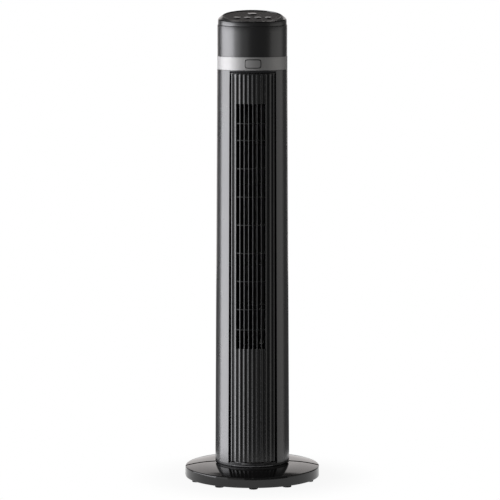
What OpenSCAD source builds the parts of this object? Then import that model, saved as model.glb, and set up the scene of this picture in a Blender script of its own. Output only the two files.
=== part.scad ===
// Tower fan: a fluted, slightly tapered column that swings on a round base.
// Millimetres, +Z up, -Y is the front. The origin is the centre of the footprint.

/* [Base] */
// Radius of the base disc at its foot
base_r = 146.4; // [135:0.1:170]
// How much smaller the disc is at its upper rim
base_draft = 0.4; // [0:0.1:3]
// Height of the rubber feet below the disc
foot_h = 4; // [2:0.5:8]
// Radius of one rubber foot
foot_r = 9.5; // [6:0.5:12]
// How far the middle of a foot lies inside the edge of the disc
foot_inset = 12.4; // [11:0.1:20]
// Rubber feet, evenly spaced with one at the front
foot_count = 11; // [11:4:15]
// Height of the side wall of the disc
rim_h = 21.5; // [18:0.5:30]
// Rise of the domed top from the rim to the deck
dome_h = 9; // [5:0.5:12]
// Wall of the base shells
base_wall = 3; // [2:0.1:4]
// Rounding of the upper rim
rim_fillet = 1.5; // [0.5:0.1:3]
// Width of the seam between the two halves
seam_gap = 0.5; // [0.2:0.1:1]

/* [Column] */
// Gap between the deck of the base and the column
skirt_gap = 1.5; // [1:0.1:3]
// Height of the two column shells
col_h = 855; // [820:1:900]
// Radius of the column at its foot
col_r_bot = 80.7; // [80:0.1:84]
// Radius of the column under the trim band
col_r_top = 75.6; // [74:0.1:78]
// Wall of the column shells
col_wall = 2.6; // [2:0.1:3]
// Height of the plain ring below the fluted panel
ring_h = 9.3; // [6:0.1:14]

/* [Fluted panel] */
// Distance from one rib to the next
rib_pitch = 9.06; // [8.8:0.01:9.2]
// Width of the flat crest of a rib
rib_w = 2.7; // [2:0.1:3.4]
// Ribs to each side of the middle rib
rib_side = 5; // [5:1:5]
// How much wider the ribs spread at the foot than at the top
rib_spread = 1.03; // [1:0.005:1.04]
// Depth of a flute
flute_d = 2.6; // [1.5:0.1:3]
// How deep the crests lie below the skin of the column
crest_inset = 1.2; // [0.6:0.1:2]
// Material left behind a flute
flute_back = 2.2; // [1.5:0.1:3]
// Length of the ramp that ends a flute
flute_runout = 9; // [5:0.5:14]
// Height of the lip above the flutes
lip_h = 4.4; // [3:0.1:8]
// Plain skin between that lip and the trim band
lip_drop = 1.7; // [1:0.1:4]
// Clearance round the panel in its window
panel_gap = 0.3; // [0.2:0.05:0.5]

/* [Outlet and inlet] */
// Height of the lower edge of the outlet above the foot of the column
outlet_rise = 257; // [255:1:274]
// Distance from the top of the column down to the upper edge of the outlet
outlet_drop = 71.4; // [64:0.1:110]
// Index of the rib on the left edge of the outlet
outlet_left = -4; // [-4:1:-4]
// Index of the rib on the right edge of the outlet
outlet_right = 3; // [3:1:3]
// Depth of a slat
slat_d = 12; // [9:0.5:13]
// Thickness of a slat
slat_w = 2.4; // [1.8:0.1:2.6]
// Thickness of a crossbar
bar_h = 1.7; // [1.2:0.1:2.5]
// Depth of a crossbar
bar_d = 5; // [3:0.5:6]
// Distance of the end crossbars from the edges of the outlet
bar_end = 41.6; // [38:0.1:44]
// Distance from the lowest crossbar to the next
bar_gap_low = 43.9; // [36:0.1:50]
// Distance from the highest crossbar to the next
bar_gap_high = 35.9; // [30:0.1:50]
// Crossbars
bar_count = 9; // [9:1:9]
// Slots in the inlet grille
slot_count = 25; // [15:2:27]
// Width of an inlet slot
slot_w = 3.6; // [2.5:0.1:4]
// Angle from one inlet slot to the next
slot_step = 5.2; // [4.8:0.1:5.4]
// Hoops behind the inlet slots
hoop_count = 7; // [4:1:9]
// Depth of a hoop
hoop_d = 3; // [2:0.5:4]

/* [Head] */
// Height of the trim band
band_h = 28; // [20:0.5:40]
// Radius of the trim band
band_r = 75.4; // [75:0.1:78]
// Wall of the trim band
band_wall = 2.2; // [1.5:0.1:2.6]
// Width of the blank badge
badge_w = 35; // [25:0.5:45]
// Height of the blank badge
badge_h = 19.5; // [12:0.5:22]
// Thickness of the blank badge
badge_t = 0.8; // [0.5:0.1:1.5]
// Radius of the head shell
head_r = 75; // [74.6:0.1:76]
// Height of the head shell on its axis
head_h = 67.1; // [60:0.1:80]
// Forward slope of the joint above the head shell
step_tilt = 2.1; // [0:0.1:3]
// Radius of the collar at its foot
collar_r = 74; // [73.6:0.1:74.6]
// Height of the collar on its axis
collar_h = 11.3; // [9:0.1:14]
// Forward slope of the top of the collar
collar_tilt = 3.6; // [2:0.1:5]
// Dark joint between the collar and the cap
cap_gap = 1.2; // [0.8:0.1:2]
// Radius of the cap at its foot
cap_r = 73.2; // [72.8:0.1:73.6]
// Radius of the rim round the control panel
rim_r = 63.2; // [62.4:0.1:65]
// Forward slope of the rim
rim_tilt = 9.6; // [8:0.1:10]
// Height of the middle of the rim above the joint below the cap
rim_rise = 6.9; // [6:0.1:9]

/* [Control panel] */
// Radius of the control panel
face_r = 61.5; // [58:0.1:61.8]
// Thickness of the control panel
face_t = 2.5; // [2:0.1:3.5]
// Forward slope of the control panel
face_tilt = 9; // [8:0.1:9.6]
// How deep the middle of the panel lies below the rim
face_drop = 1.1; // [0.9:0.1:2]
// Radius of the power button
power_r = 9.8; // [7:0.1:11]
// Distance of the power button behind the middle
power_y = 26; // [20:0.5:34]
// Radius of a function button
key_r = 7.3; // [5:0.1:8]
// Distance of the function buttons in front of the middle
key_y = 20; // [16:0.5:28]
// Distance from one function button to the next
key_pitch = 22; // [19:0.1:22.4]
// How far a button stands proud of the panel
key_proud = 1.5; // [1:0.1:2]
// Travel of a button
key_travel = 0.8; // [0.5:0.1:1]
// Clearance round a button
key_gap = 0.3; // [0.2:0.05:0.4]
// Radius of an indicator lens
lens_r = 1.1; // [0.8:0.1:1.5]

/* [Swivel] */
// Radius of the foot of the swivel spool
spool_r = 66; // [64:0.5:68]
// Radius of the neck that the column turns on
neck_r = 57.5; // [56:0.5:58]
// Running clearance round the neck
neck_gap = 0.3; // [0.2:0.05:0.4]
// Thickness of the foot of the spool
spool_t = 3.5; // [3:0.1:5]
// Thickness of a slip ring
slip_t = 1.5; // [1:0.1:2]
// Thickness of the floor of the column
floor_t = 3.5; // [3:0.1:5]
// Play above the upper slip ring
slip_play = 0.15; // [0.1:0.05:0.3]
// Thickness of the retainer plate
retainer_t = 4.5; // [4:0.1:6]
// Radius of the cable passage
cable_r = 14; // [10:0.5:16]

/* [Swing drive] */
// Module of the gear teeth
gear_m = 1.6; // [1.5:0.05:1.6]
// Teeth of the fixed gear
sun_teeth = 54; // [54:18:54]
// Teeth of the pinion
pinion_teeth = 18; // [18:1:18]
// Face width of the fixed gear
gear_w = 7; // [5:0.5:9]
// Backlash at the pitch circle
backlash = 0.2; // [0.1:0.05:0.3]
// Place of the pinion, counted in teeth of the fixed gear
pinion_place = 20; // [19:1:21]
// Radius of the gear motor
step_r = 17.5; // [15:0.5:18]
// Height of the gear motor
step_h = 18; // [14:0.5:24]

/* [Air path] */
// Sideways place of the impeller axis
fan_x = 8; // [6:0.5:10]
// Rearward place of the impeller axis
fan_y = 12; // [10:0.5:14]
// Radius of the impeller
fan_r = 41; // [36:0.5:42]
// Blades
blade_count = 30; // [20:1:36]
// Thickness of a blade
blade_t = 1; // [0.8:0.1:1.5]
// Radial depth of a blade
blade_d = 9; // [7:0.5:11]
// Rings between the end discs
fan_rings = 5; // [3:1:7]
// Clearance between impeller and air guide at its narrowest
tip_gap = 5; // [3:0.5:6]
// Wall of the air guides
guide_t = 2; // [1.5:0.1:3]
// Thickness of the two end plates
plate_t = 3; // [2.5:0.1:4]
// Space between the outlet and each end plate
plate_gap = 3; // [2:0.5:4]

/* [Motor] */
// Radius of the motor can
can_r = 38; // [34:0.5:40]
// Height of the motor can
can_h = 58; // [50:1:70]
// Radius of the motor shaft
shaft_r = 4; // [3:0.1:5]
// Running clearance of the shaft in its bushes
shaft_gap = 0.05; // [0.03:0.01:0.08]
// Height of the rubber mounts
mount_h = 8; // [6:0.5:12]

/* [Screws] */
// Shank radius of the case screws
screw_r = 1.7; // [1.5:0.1:2]
// Head radius of the case screws
screw_head_r = 3.6; // [3:0.1:4]
// Head height of the case screws
screw_head_h = 2.4; // [2:0.1:3]
// Sideways place of the case screws
case_screw_x = 64; // [63.6:0.1:65]

/* [Hidden] */
$fn = 96;
eps = 0.02;
big = 400;
thread_gap = 0.02;
hole_gap = 0.3;
boss_r = 5;
well_r = 6.2;

// Levels of the base and the swivel
rim_z = foot_h + rim_h;
deck_z = rim_z + dome_h;
deck_r = col_r_bot + 4;
rim_top_r = base_r - base_draft;
foot_ring_r = base_r - foot_inset;
spool_top = deck_z + spool_t;
floor_z0 = spool_top + slip_t;
floor_z1 = floor_z0 + floor_t;
slip_top = floor_z1 + slip_t;
neck_top = slip_top + slip_play;
retainer_top = neck_top + retainer_t;
sun_top = retainer_top + gear_w;
spool_screw_r = 36;
retainer_screw_r = 52;

// Levels of the column
col_z0 = deck_z + skirt_gap;
col_z1 = col_z0 + col_h;
window_z0 = col_z0 + ring_h;
window_z1 = col_z1 - lip_drop;
flute_z1 = window_z1 - lip_h;
window_x = (rib_side + 0.5) * rib_pitch + (rib_pitch - rib_w) / 2 - 0.8;
panel_back = crest_inset + flute_d + flute_back;
flange_x = window_x + 5.3;
outlet_z0 = col_z0 + outlet_rise;
outlet_z1 = col_z1 - outlet_drop;
slat_back = crest_inset + slat_d;
lower_plate_z = outlet_z0 - plate_gap - plate_t;
upper_plate_z = outlet_z1 + plate_gap + 1.4;
case_screw_z = [lerp(col_z0, lower_plate_z, 0.454), lower_plate_z - 25, upper_plate_z + 28];

// Swing drive
sun_r = gear_m * sun_teeth / 2;
pinion_r = gear_m * pinion_teeth / 2;
pinion_a = pinion_place * 360 / sun_teeth;
pinion_d = sun_r + pinion_r;
pinion_phase = pinion_a + 180 - 180 / pinion_teeth;
step_shaft_r = 2.5;
bracket_z = sun_top + 2;
bracket_t = 3;
bracket_in = 38;
bracket_half = 48;
post_place = 71.5;
post_r = 4.5;
bracket_posts = [pinion_a - 38, pinion_a + 38];
front_lug_a = [200, 270, 340];
rear_lug_a = [20, 65];
floor_screw_a = concat(rear_lug_a, front_lug_a, bracket_posts);
tap_depth = 9;
lug_h = 10;
head_lug_h = 12;

// Impeller and motor
fan_z0 = lower_plate_z + plate_t + 4;
fan_z1 = upper_plate_z - 6;
motor_top = lower_plate_z - mount_h - plate_t;
can_z0 = motor_top - can_h;
can_wall = 1.6;
ear_r = can_r + 10;

// Head
head_mount_r = band_r - band_wall - 0.3;
head_floor_z = flute_z1 + panel_gap;
head_spigot = 13;
band_z1 = col_z1 + band_h;
step_z = band_z1 + head_h;
joint_z = step_z + collar_h + cap_gap;
rim_mid_z = joint_z + rim_rise;
face_z = rim_mid_z - face_drop;
head_in_r = head_mount_r + 0.2;
skirt_r = collar_r - 3.5;
board_drop = 13;
board_t = 1.6;
key_x = [-1.5 * key_pitch, -0.5 * key_pitch, 0.5 * key_pitch, 1.5 * key_pitch];
lens_x = [-26, -5, 5, 26];
lens_y = 4;

function lerp(a, b, t) = a + (b - a) * t;
function col_r(z) = lerp(col_r_bot, col_r_top, (z - col_z0) / col_h);
function spread(z) = lerp(rib_spread, 1, (z - window_z0) / (flute_z1 - window_z0));
function along(h, place_r) = sqrt(h * h - place_r * place_r);

// ---- Shared shapes ----

// Part of the column wall between two depths below the skin, from angle a0 to a1
module skin(z0, z1, outer, inner, a0, a1)
    rotate([0, 0, a0])
        rotate_extrude(angle = a1 - a0)
            polygon([
                [col_r(z0) - inner, z0], [col_r(z0) - outer, z0],
                [col_r(z1) - outer, z1], [col_r(z1) - inner, z1]
            ]);

module ring(outer, inner, z0, h)
    translate([0, 0, z0])
        difference() {
            cylinder(r = outer, h = h);
            translate([0, 0, -1]) cylinder(r = inner, h = h + 2);
        }

// Everything below a plane that slopes down towards the front
module below(z, tilt)
    translate([0, 0, z])
        rotate([tilt, 0, 0])
            translate([-big / 2, -big / 2, -big]) cube([big, big, big]);

// The frame of the control panel
module on_face() translate([0, 0, face_z]) rotate([face_tilt, 0, 0]) children();

module at_fan() translate([fan_x, fan_y, 0]) children();

module polar(r, a) rotate([0, 0, a]) translate([r, 0, 0]) children();

// A pan head screw whose head sits on z = 0 and whose shank points up
module screw(length) {
    translate([0, 0, -screw_head_h]) cylinder(r = screw_head_r, h = screw_head_h);
    cylinder(r = screw_r, h = length);
}

// ---- Base ----

// Outline of a base half: rim, dome and deck, with an even wall
dome_steps = 8;
web_t = 2.2;
dome_curve = (pow(rim_top_r, 2) - pow(deck_r, 2)) / (2 * dome_h);
function dome_z(r) = rim_z + (pow(rim_top_r, 2) - r * r) / (2 * dome_curve);
function dome_line(drop, inset) = [
    for (i = [0 : dome_steps])
        let (r = lerp(rim_top_r - inset, deck_r, i / dome_steps))
            [r, dome_z(r) - drop]
];
function rim_arc() = [
    for (a = [0 : 22.5 : 67.5])
        [rim_top_r - rim_fillet * (1 - cos(a)), rim_z - rim_fillet + rim_fillet * sin(a)]
];

module base_half_shell()
    rotate_extrude(angle = 180)
        polygon(concat(
            [[base_r - base_wall, foot_h], [base_r, foot_h]],
            rim_arc(),
            dome_line(0, rim_fillet),
            [[cable_r + 2, deck_z], [cable_r + 2, deck_z - base_wall]],
            [for (i = [dome_steps : -1 : 0]) dome_line(base_wall, base_wall)[i]]
        ));

// The space under the skin of the base that its bosses and webs fill
module base_fill()
    rotate_extrude()
        polygon([
            [0, foot_h], [base_r - base_wall / 2, foot_h],
            [base_r - base_wall / 2, rim_z - base_wall],
            [deck_r, deck_z - base_wall / 2], [0, deck_z - base_wall / 2]
        ]);

// Rear half as drawn; the front half is the same shell turned round. Its feet stand at these angles
module base_half(feet) {
    difference() {
        union() {
            base_half_shell();
            intersection() {
                base_fill();
                for (a = feet) {
                    polar(foot_ring_r, a) cylinder(r = foot_r + 1, h = deck_z);
                    rotate([0, 0, a])
                        translate([spool_screw_r + 8, -web_t / 2, foot_h + 6])
                            cube([foot_ring_r - spool_screw_r - 8, web_t, deck_z]);
                }
            }
        }
        translate([-big, -big + seam_gap / 2, -1]) cube([2 * big, big, big]);
        for (a = [30, 90, 150])
            polar(spool_screw_r, a) translate([0, 0, deck_z - 10]) cylinder(r = screw_r + hole_gap, h = 12);
    }
}

// Angles of the feet, counted from the front and split between the halves
foot_a = [for (k = [0 : foot_count - 1]) 270 + (k - (foot_count - 1) / 2) * 360 / foot_count];
front_feet = [for (a = foot_a) if (sin(a) < 0) a];
rear_feet = [for (a = foot_a) if (sin(a) > 0) a];

module base_front() color([0.12, 0.12, 0.13]) rotate([0, 0, 180]) base_half([for (a = front_feet) a - 180]);

gland_z = foot_h + 9.5;
gland_r = 5.2;
gland_bore = 3.6;
gland_in = 12;

module base_rear()
    color([0.12, 0.12, 0.13])
        difference() {
            union() {
                base_half(rear_feet);
                translate([-11, base_r - base_wall - gland_in, foot_h])
                    cube([22, gland_in + 1.6, rim_h - 3]);
            }
            translate([0, base_r - base_wall - gland_in - 1, gland_z])
                rotate([-90, 0, 0]) cylinder(r = gland_r, h = gland_in + base_wall + 3);
        }

module cord_gland()
    color([0.05, 0.05, 0.05])
        translate([0, base_r - base_wall - gland_in, gland_z])
            rotate([-90, 0, 0])
                difference() {
                    union() {
                        translate([0, 0, -3]) cylinder(r = gland_r + 2.4, h = 3);
                        cylinder(r = gland_r - 0.05, h = gland_in + base_wall - 0.3);
                    }
                    translate([0, 0, -4]) cylinder(r = gland_bore, h = gland_in + base_wall + 6);
                }

module rubber_feet()
    color([0.08, 0.08, 0.08])
        for (a = foot_a) polar(foot_ring_r, a) cylinder(r = foot_r, h = foot_h);

module base_screws()
    color([0.6, 0.6, 0.62])
        for (a = [30 : 60 : 330])
            polar(spool_screw_r, a) translate([0, 0, deck_z - base_wall]) screw(base_wall + spool_t + 5);

// ---- Swivel ----

module swivel_spool()
    color([0.2, 0.2, 0.21])
        difference() {
            union() {
                ring(spool_r, cable_r, deck_z, spool_t);
                ring(neck_r, neck_r - 11, deck_z, neck_top - deck_z);
                for (a = [30 : 60 : 330])
                    polar(spool_screw_r, a)
                        translate([0, 0, deck_z]) cylinder(r = boss_r, h = neck_top - deck_z - 0.5);
            }
            for (a = [30 : 60 : 330])
                polar(spool_screw_r, a)
                    translate([0, 0, deck_z - 1]) cylinder(r = screw_r + thread_gap, h = spool_t + 7);
            for (a = [0 : 60 : 300])
                polar(retainer_screw_r, a)
                    translate([0, 0, neck_top - 8]) cylinder(r = screw_r + thread_gap, h = 9);
        }

module slip_ring_lower() color([0.9, 0.9, 0.86]) ring(spool_r - 0.5, neck_r + 0.5, spool_top, slip_t);
module slip_ring_upper() color([0.9, 0.9, 0.86]) ring(spool_r - 1.5, neck_r + 0.5, floor_z1, slip_t);

// Involute teeth: half the angle that a tooth covers at radius r
pressure = 20;
function inv(a) = tan(a) * 180 / PI - a;
function tooth_half(r, teeth) =
    let (pitch = gear_m * teeth / 2, base = pitch * cos(pressure))
        90 / teeth - backlash / 4 / pitch * 180 / PI + inv(pressure) - inv(acos(min(1, base / max(r, base))));
function tooth(teeth, i) =
    let (pitch = gear_m * teeth / 2, root = pitch - 1.25 * gear_m, tip = pitch + 0.95 * gear_m,
         radii = [root, pitch - 0.5 * gear_m, pitch, pitch + 0.5 * gear_m, tip])
        concat(
            [for (r = radii) [r, i * 360 / teeth - tooth_half(r, teeth)]],
            [for (k = [len(radii) - 1 : -1 : 0]) [radii[k], i * 360 / teeth + tooth_half(radii[k], teeth)]]
        );
module gear(teeth, h)
    linear_extrude(h)
        polygon([for (i = [0 : teeth - 1], p = tooth(teeth, i)) [p[0] * cos(p[1]), p[0] * sin(p[1])]]);

module swivel_retainer()
    color([0.85, 0.85, 0.8])
        difference() {
            union() {
                translate([0, 0, neck_top]) cylinder(r = spool_r - 1, h = retainer_t);
                translate([0, 0, retainer_top - eps]) gear(sun_teeth, gear_w + eps);
            }
            translate([0, 0, neck_top - 1]) cylinder(r = sun_r - 7, h = retainer_t + gear_w + 2);
            for (a = [0 : 60 : 300])
                polar(retainer_screw_r, a) {
                    translate([0, 0, neck_top - 1]) cylinder(r = screw_r + hole_gap, h = retainer_t + 2);
                    translate([0, 0, retainer_top - screw_head_h - hole_gap])
                        cylinder(r = screw_head_r + hole_gap, h = screw_head_h + 1);
                }
        }

module retainer_screws()
    color([0.6, 0.6, 0.62])
        for (a = [0 : 60 : 300])
            polar(retainer_screw_r, a)
                translate([0, 0, retainer_top - screw_head_h - hole_gap]) rotate([180, 0, 0]) screw(8.5);

// ---- Column shells ----

// Both shells: a lug on the wall at angle a that a screw enters from below or above
module lug(a, z0, h, place)
    rotate([0, 0, a]) {
        translate([place, 0, z0]) cylinder(r = boss_r, h = h);
        translate([place, -2, z0]) cube([col_r(z0) - col_wall / 2 - place, 4, h]);
    }

// Everything inside the middle of the column's wall
module column_fill()
    translate([0, 0, col_z0])
        cylinder(r1 = col_r_bot - col_wall / 2, r2 = col_r_top - col_wall / 2, h = col_h);

// The window that the fluted panel stands in, with its sloped upper lip
module window(gap)
    intersection() {
        rotate([0, 0, 220])
            rotate_extrude(angle = 100)
                polygon([
                    [40, window_z0], [100, window_z0], [100, window_z1 + 2],
                    [col_r(window_z1) + 0.2, window_z1 + 0.2],
                    [col_r(window_z1) - col_wall - 0.2, flute_z1 + gap], [40, flute_z1 + gap]
                ]);
        translate([-window_x, -big, 0]) cube([2 * window_x, big, 2 * big + big]);
    }

head_lug_place = 66;
head_lug_z = head_floor_z - head_lug_h;
head_lug_front = [200, 340];
head_lug_rear = [45, 135];

// Screw holes in the lugs at the foot and at the head of a shell
module lug_holes(foot, head) {
    for (a = foot)
        polar(post_place, a)
            translate([0, 0, floor_z1 - 1]) cylinder(r = screw_r + thread_gap, h = lug_h - 0.5);
    for (a = head)
        polar(head_lug_place, a)
            translate([0, 0, head_floor_z - head_lug_h + 2])
                cylinder(r = screw_r + thread_gap, h = head_lug_h - 1);
}

module front_housing()
    color([0.16, 0.16, 0.18])
        difference() {
            union() {
                skin(col_z0, col_z1, 0, col_wall, 180, 360);
                intersection() {
                    column_fill();
                    for (z = case_screw_z, s = [-1, 1])
                        translate([s * case_screw_x, 0, z]) {
                            rotate([90, 0, 0]) cylinder(r = boss_r, h = col_r_bot);
                            translate([s > 0 ? 0 : -20, -22, -1]) cube([20, 22, 2]);
                        }
                }
                for (a = front_lug_a) lug(a, floor_z1, lug_h, post_place);
                for (a = head_lug_front) lug(a, head_lug_z, head_lug_h, head_lug_place);
            }
            window(0);
            for (z = case_screw_z, s = [-1, 1])
                translate([s * case_screw_x, 1, z]) rotate([90, 0, 0]) cylinder(r = screw_r + 0.02, h = 19);
            lug_holes(front_lug_a, head_lug_front);
        }

slot_z0 = outlet_z0 + 7;
slot_z1 = outlet_z1 - 7;
pad_y = 66;
cap_w = 38;
cap_d = 20;
cap_z0 = col_z0 + 92;
cap_h = 34;
plate_lug_a = [25, 85, 145];

module rear_housing()
    color([0.16, 0.16, 0.18])
        difference() {
            union() {
                difference() {
                    skin(col_z0, col_z1, 0, col_wall, 0, 180);
                    for (k = [-(slot_count - 1) / 2 : (slot_count - 1) / 2])
                        rotate([0, 0, 90 + k * slot_step])
                            translate([60, -slot_w / 2, slot_z0]) cube([30, slot_w, slot_z1 - slot_z0]);
                }
                for (k = [0 : hoop_count - 1]) {
                    z = lerp(slot_z0, slot_z1, (k + 1) / (hoop_count + 1));
                    hoop_a = (slot_count + 1) / 2 * slot_step;
                    skin(z - 1.25, z + 1.25, 1, col_wall + hoop_d, 90 - hoop_a, 90 + hoop_a);
                }
                intersection() {
                    column_fill();
                    for (z = case_screw_z, s = [-1, 1])
                        translate([s * case_screw_x, 0, z])
                            rotate([-90, 0, 0]) cylinder(r = well_r, h = col_r_bot);
                }
                for (a = rear_lug_a) lug(a, floor_z1, lug_h, post_place);
                for (a = head_lug_rear) lug(a, head_lug_z, head_lug_h, head_lug_place);
                for (a = plate_lug_a) {
                    skin(lower_plate_z - 7, lower_plate_z, col_wall / 2, 11, a, a + 10);
                    skin(upper_plate_z + plate_t, upper_plate_z + plate_t + 7, col_wall / 2, 11, a, a + 10);
                }
                intersection() {
                    translate([-cap_w / 2 - 3, pad_y, cap_z0 - 4]) cube([cap_w + 6, 20, cap_h + 8]);
                    cylinder(r = col_r(cap_z0) - col_wall / 2, h = big);
                }
                translate([-cap_w / 2, pad_y - cap_d, cap_z0 - 4]) cube([cap_w, cap_d + 1, 3]);
            }
            for (z = case_screw_z, s = [-1, 1])
                translate([s * case_screw_x, 0, z]) rotate([-90, 0, 0]) {
                    translate([0, 0, 3]) cylinder(r = screw_head_r + 0.8, h = 80);
                    translate([0, 0, -1]) cylinder(r = screw_r + 0.3, h = 6);
                }
            lug_holes(rear_lug_a, head_lug_rear);
        }

module case_screws()
    color([0.6, 0.6, 0.62])
        for (z = case_screw_z, s = [-1, 1])
            translate([s * case_screw_x, 3, z]) rotate([90, 0, 0]) screw(18);

module column_floor()
    color([0.2, 0.2, 0.22])
        difference() {
            translate([0, 0, floor_z0]) cylinder(r = col_r(floor_z1) - col_wall - panel_gap, h = floor_t);
            translate([0, 0, floor_z0 - 1]) cylinder(r = neck_r + neck_gap, h = floor_t + 2);
            for (a = floor_screw_a)
                polar(post_place, a)
                    translate([0, 0, floor_z0 - 1]) cylinder(r = screw_r + hole_gap, h = floor_t + 2);
                    }

module floor_screws()
    color([0.6, 0.6, 0.62])
        for (a = floor_screw_a)
            polar(post_place, a) translate([0, 0, floor_z0 + 0.01]) floor_screw();

// A flush screw: its head lies in the floor plate, clear of the spool
module floor_screw() cylinder(r = screw_r, h = floor_t + 8);

// ---- Fluted panel ----

panel_x = window_x - panel_gap;
panel_top = flute_z1 - panel_gap;
flute_floor = crest_inset + flute_d;
runout_z = panel_top - flute_runout;
runout_step = 0.3;

// A strip of the panel between places x0 and x1, from z0 to z1, all the way through
module strip(x0, x1, z0, z1)
    translate([0, -40, 0])
        rotate([90, 0, 0])
            linear_extrude(60)
                polygon([
                    [x0 * spread(z0), z0], [x1 * spread(z0), z0],
                    [x1 * spread(z1), z1], [x0 * spread(z1), z1]
                ]);

module rib_strip(i, w, z0, z1) strip(i * rib_pitch - w / 2, i * rib_pitch + w / 2, z0, z1);

// The ramp that ends the flutes under the lip
module runout()
    rotate([0, 0, 220])
        rotate_extrude(angle = 100)
            polygon([
                [col_r(runout_z) - panel_back, runout_z], [col_r(runout_z) - flute_floor, runout_z],
                [col_r(panel_top) - crest_inset - runout_step, panel_top],
                [col_r(panel_top) - panel_back, panel_top]
            ]);

// The floor of the flutes, the ramp above them, the ribs and the flanges behind the window's edges
module panel_blank() {
    intersection() {
        union() {
            skin(window_z0 + panel_gap, panel_top, flute_floor, panel_back, 220, 320);
            runout();
        }
        translate([-panel_x, -big, 0]) cube([2 * panel_x, big, 3 * big]);
    }
    intersection() {
        skin(window_z0 + panel_gap, panel_top, crest_inset, flute_floor + flute_back / 2, 225, 315);
        for (i = [-rib_side : rib_side]) rib_strip(i, rib_w, 0, col_z1);
    }
    intersection() {
        skin(window_z0 + 4, flute_z1 - 4, col_wall + panel_gap, panel_back - 0.8, 215, 325);
        translate([-flange_x, -big, 0]) cube([2 * flange_x, big, 3 * big]);
    }
}

module fluted_panel()
    color([0.13, 0.13, 0.14]) {
        difference() {
            panel_blank();
            strip(outlet_left * rib_pitch, outlet_right * rib_pitch, outlet_z0, outlet_z1);
        }
        intersection() {
            skin(outlet_z0 - 1, outlet_z1 + 1, crest_inset + 0.15, slat_back, 230, 310);
            for (i = [outlet_left : outlet_right]) rib_strip(i, slat_w, outlet_z0 - 2, outlet_z1 + 2);
        }
        intersection() {
            for (z = [for (k = [0 : bar_count - 1]) bar_place(k)])
                skin(z - bar_h / 2, z + bar_h / 2, slat_back - bar_d, slat_back - 0.5, 235, 305);
            strip(outlet_left * rib_pitch, outlet_right * rib_pitch, outlet_z0, outlet_z1);
        }
    }

// The end crossbars keep their distance from the edges and the rest are evenly spread between them
function bar_place(k) =
    k == 0 ? outlet_z0 + bar_end :
    k == bar_count - 1 ? outlet_z1 - bar_end :
    lerp(outlet_z0 + bar_end + bar_gap_low, outlet_z1 - bar_end - bar_gap_high, (k - 1) / (bar_count - 3));

// ---- Swing drive ----

module swing_bracket()
    color([0.7, 0.7, 0.72])
        difference() {
            union() {
                rotate([0, 0, pinion_a - bracket_half])
                    rotate_extrude(angle = 2 * bracket_half)
                        polygon([
                            [bracket_in, bracket_z], [post_place + post_r, bracket_z],
                            [post_place + post_r, bracket_z + bracket_t], [bracket_in, bracket_z + bracket_t]
                        ]);
                for (a = bracket_posts)
                    polar(post_place, a)
                        translate([0, 0, floor_z1]) cylinder(r = post_r, h = bracket_z - floor_z1 + eps);
            }
            polar(pinion_d, pinion_a)
                translate([0, 0, bracket_z - 1]) cylinder(r = 2 * step_shaft_r, h = bracket_t + 2);
            for (a = bracket_posts)
                polar(post_place, a)
                    translate([0, 0, floor_z1 - 1]) cylinder(r = screw_r + thread_gap, h = tap_depth + 1);
        }

module swing_motor()
    color([0.75, 0.75, 0.77])
        polar(pinion_d, pinion_a)
            difference() {
                translate([0, 0, bracket_z + bracket_t]) cylinder(r = step_r, h = step_h);
                translate([0, 0, bracket_z])
                    cylinder(r = step_shaft_r + shaft_gap, h = bracket_t + step_h - 4);
            }

module swing_shaft()
    color([0.8, 0.8, 0.82])
        polar(pinion_d, pinion_a)
            translate([0, 0, retainer_top + 0.8])
                cylinder(r = step_shaft_r, h = bracket_z + bracket_t + step_h - 6 - retainer_top);

module swing_pinion()
    color([0.85, 0.85, 0.8])
        polar(pinion_d, pinion_a)
            difference() {
                union() {
                    translate([0, 0, retainer_top + 0.5])
                        rotate([0, 0, pinion_phase - pinion_a]) gear(pinion_teeth, gear_w - 1);
                    translate([0, 0, sun_top - 0.6]) cylinder(r = 4.5, h = bracket_z + 0.4 - sun_top);
                }
                translate([0, 0, retainer_top - 1]) cylinder(r = step_shaft_r + 0.02, h = gear_w + 10);
            }

// ---- Air path ----

guide_end_r = col_r(outlet_z1) - slat_back - 0.7;
guide_x = outlet_left * rib_pitch - 2;
guide_y = -along(guide_end_r, guide_x);
guide_a0 = 80;
guide_a1 = 360 + atan2(guide_y - fan_y, guide_x - fan_x);
guide_r0 = fan_r + tip_gap;
guide_r1 = norm([guide_x - fan_x, guide_y - fan_y]);
function guide_r(a) = guide_r0 * pow(guide_r1 / guide_r0, (a - guide_a0) / (guide_a1 - guide_a0));
function guide_line(t) = [
    for (i = [0 : 14])
        let (a = lerp(guide_a0, guide_a1, i / 14), r = guide_r(a) + t)
            [fan_x + r * cos(a), fan_y + r * sin(a)]
];

module between_plates()
    translate([0, 0, lower_plate_z + plate_t])
        linear_extrude(upper_plate_z - lower_plate_z - plate_t) children();

module air_guide()
    color([0.25, 0.25, 0.27])
        between_plates()
            polygon(concat(guide_line(0), [for (i = [14 : -1 : 0]) guide_line(-guide_t)[i]]));

cut_x = outlet_right * rib_pitch + 2;
cut_y = -along(guide_end_r, cut_x);
nose = [fan_x + (fan_r + tip_gap) * cos(-50), fan_y + (fan_r + tip_gap) * sin(-50)];
tail = [60, -32];

module air_cutoff()
    color([0.25, 0.25, 0.27])
        between_plates()
            polygon([
                [cut_x, cut_y], [nose[0] - guide_t / 2, nose[1]], [nose[0] + guide_t, nose[1] + 0.5],
                tail, [tail[0], tail[1] - guide_t], [nose[0] + guide_t + 1, nose[1] - guide_t - 1],
                [cut_x + guide_t, cut_y]
            ]);

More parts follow.
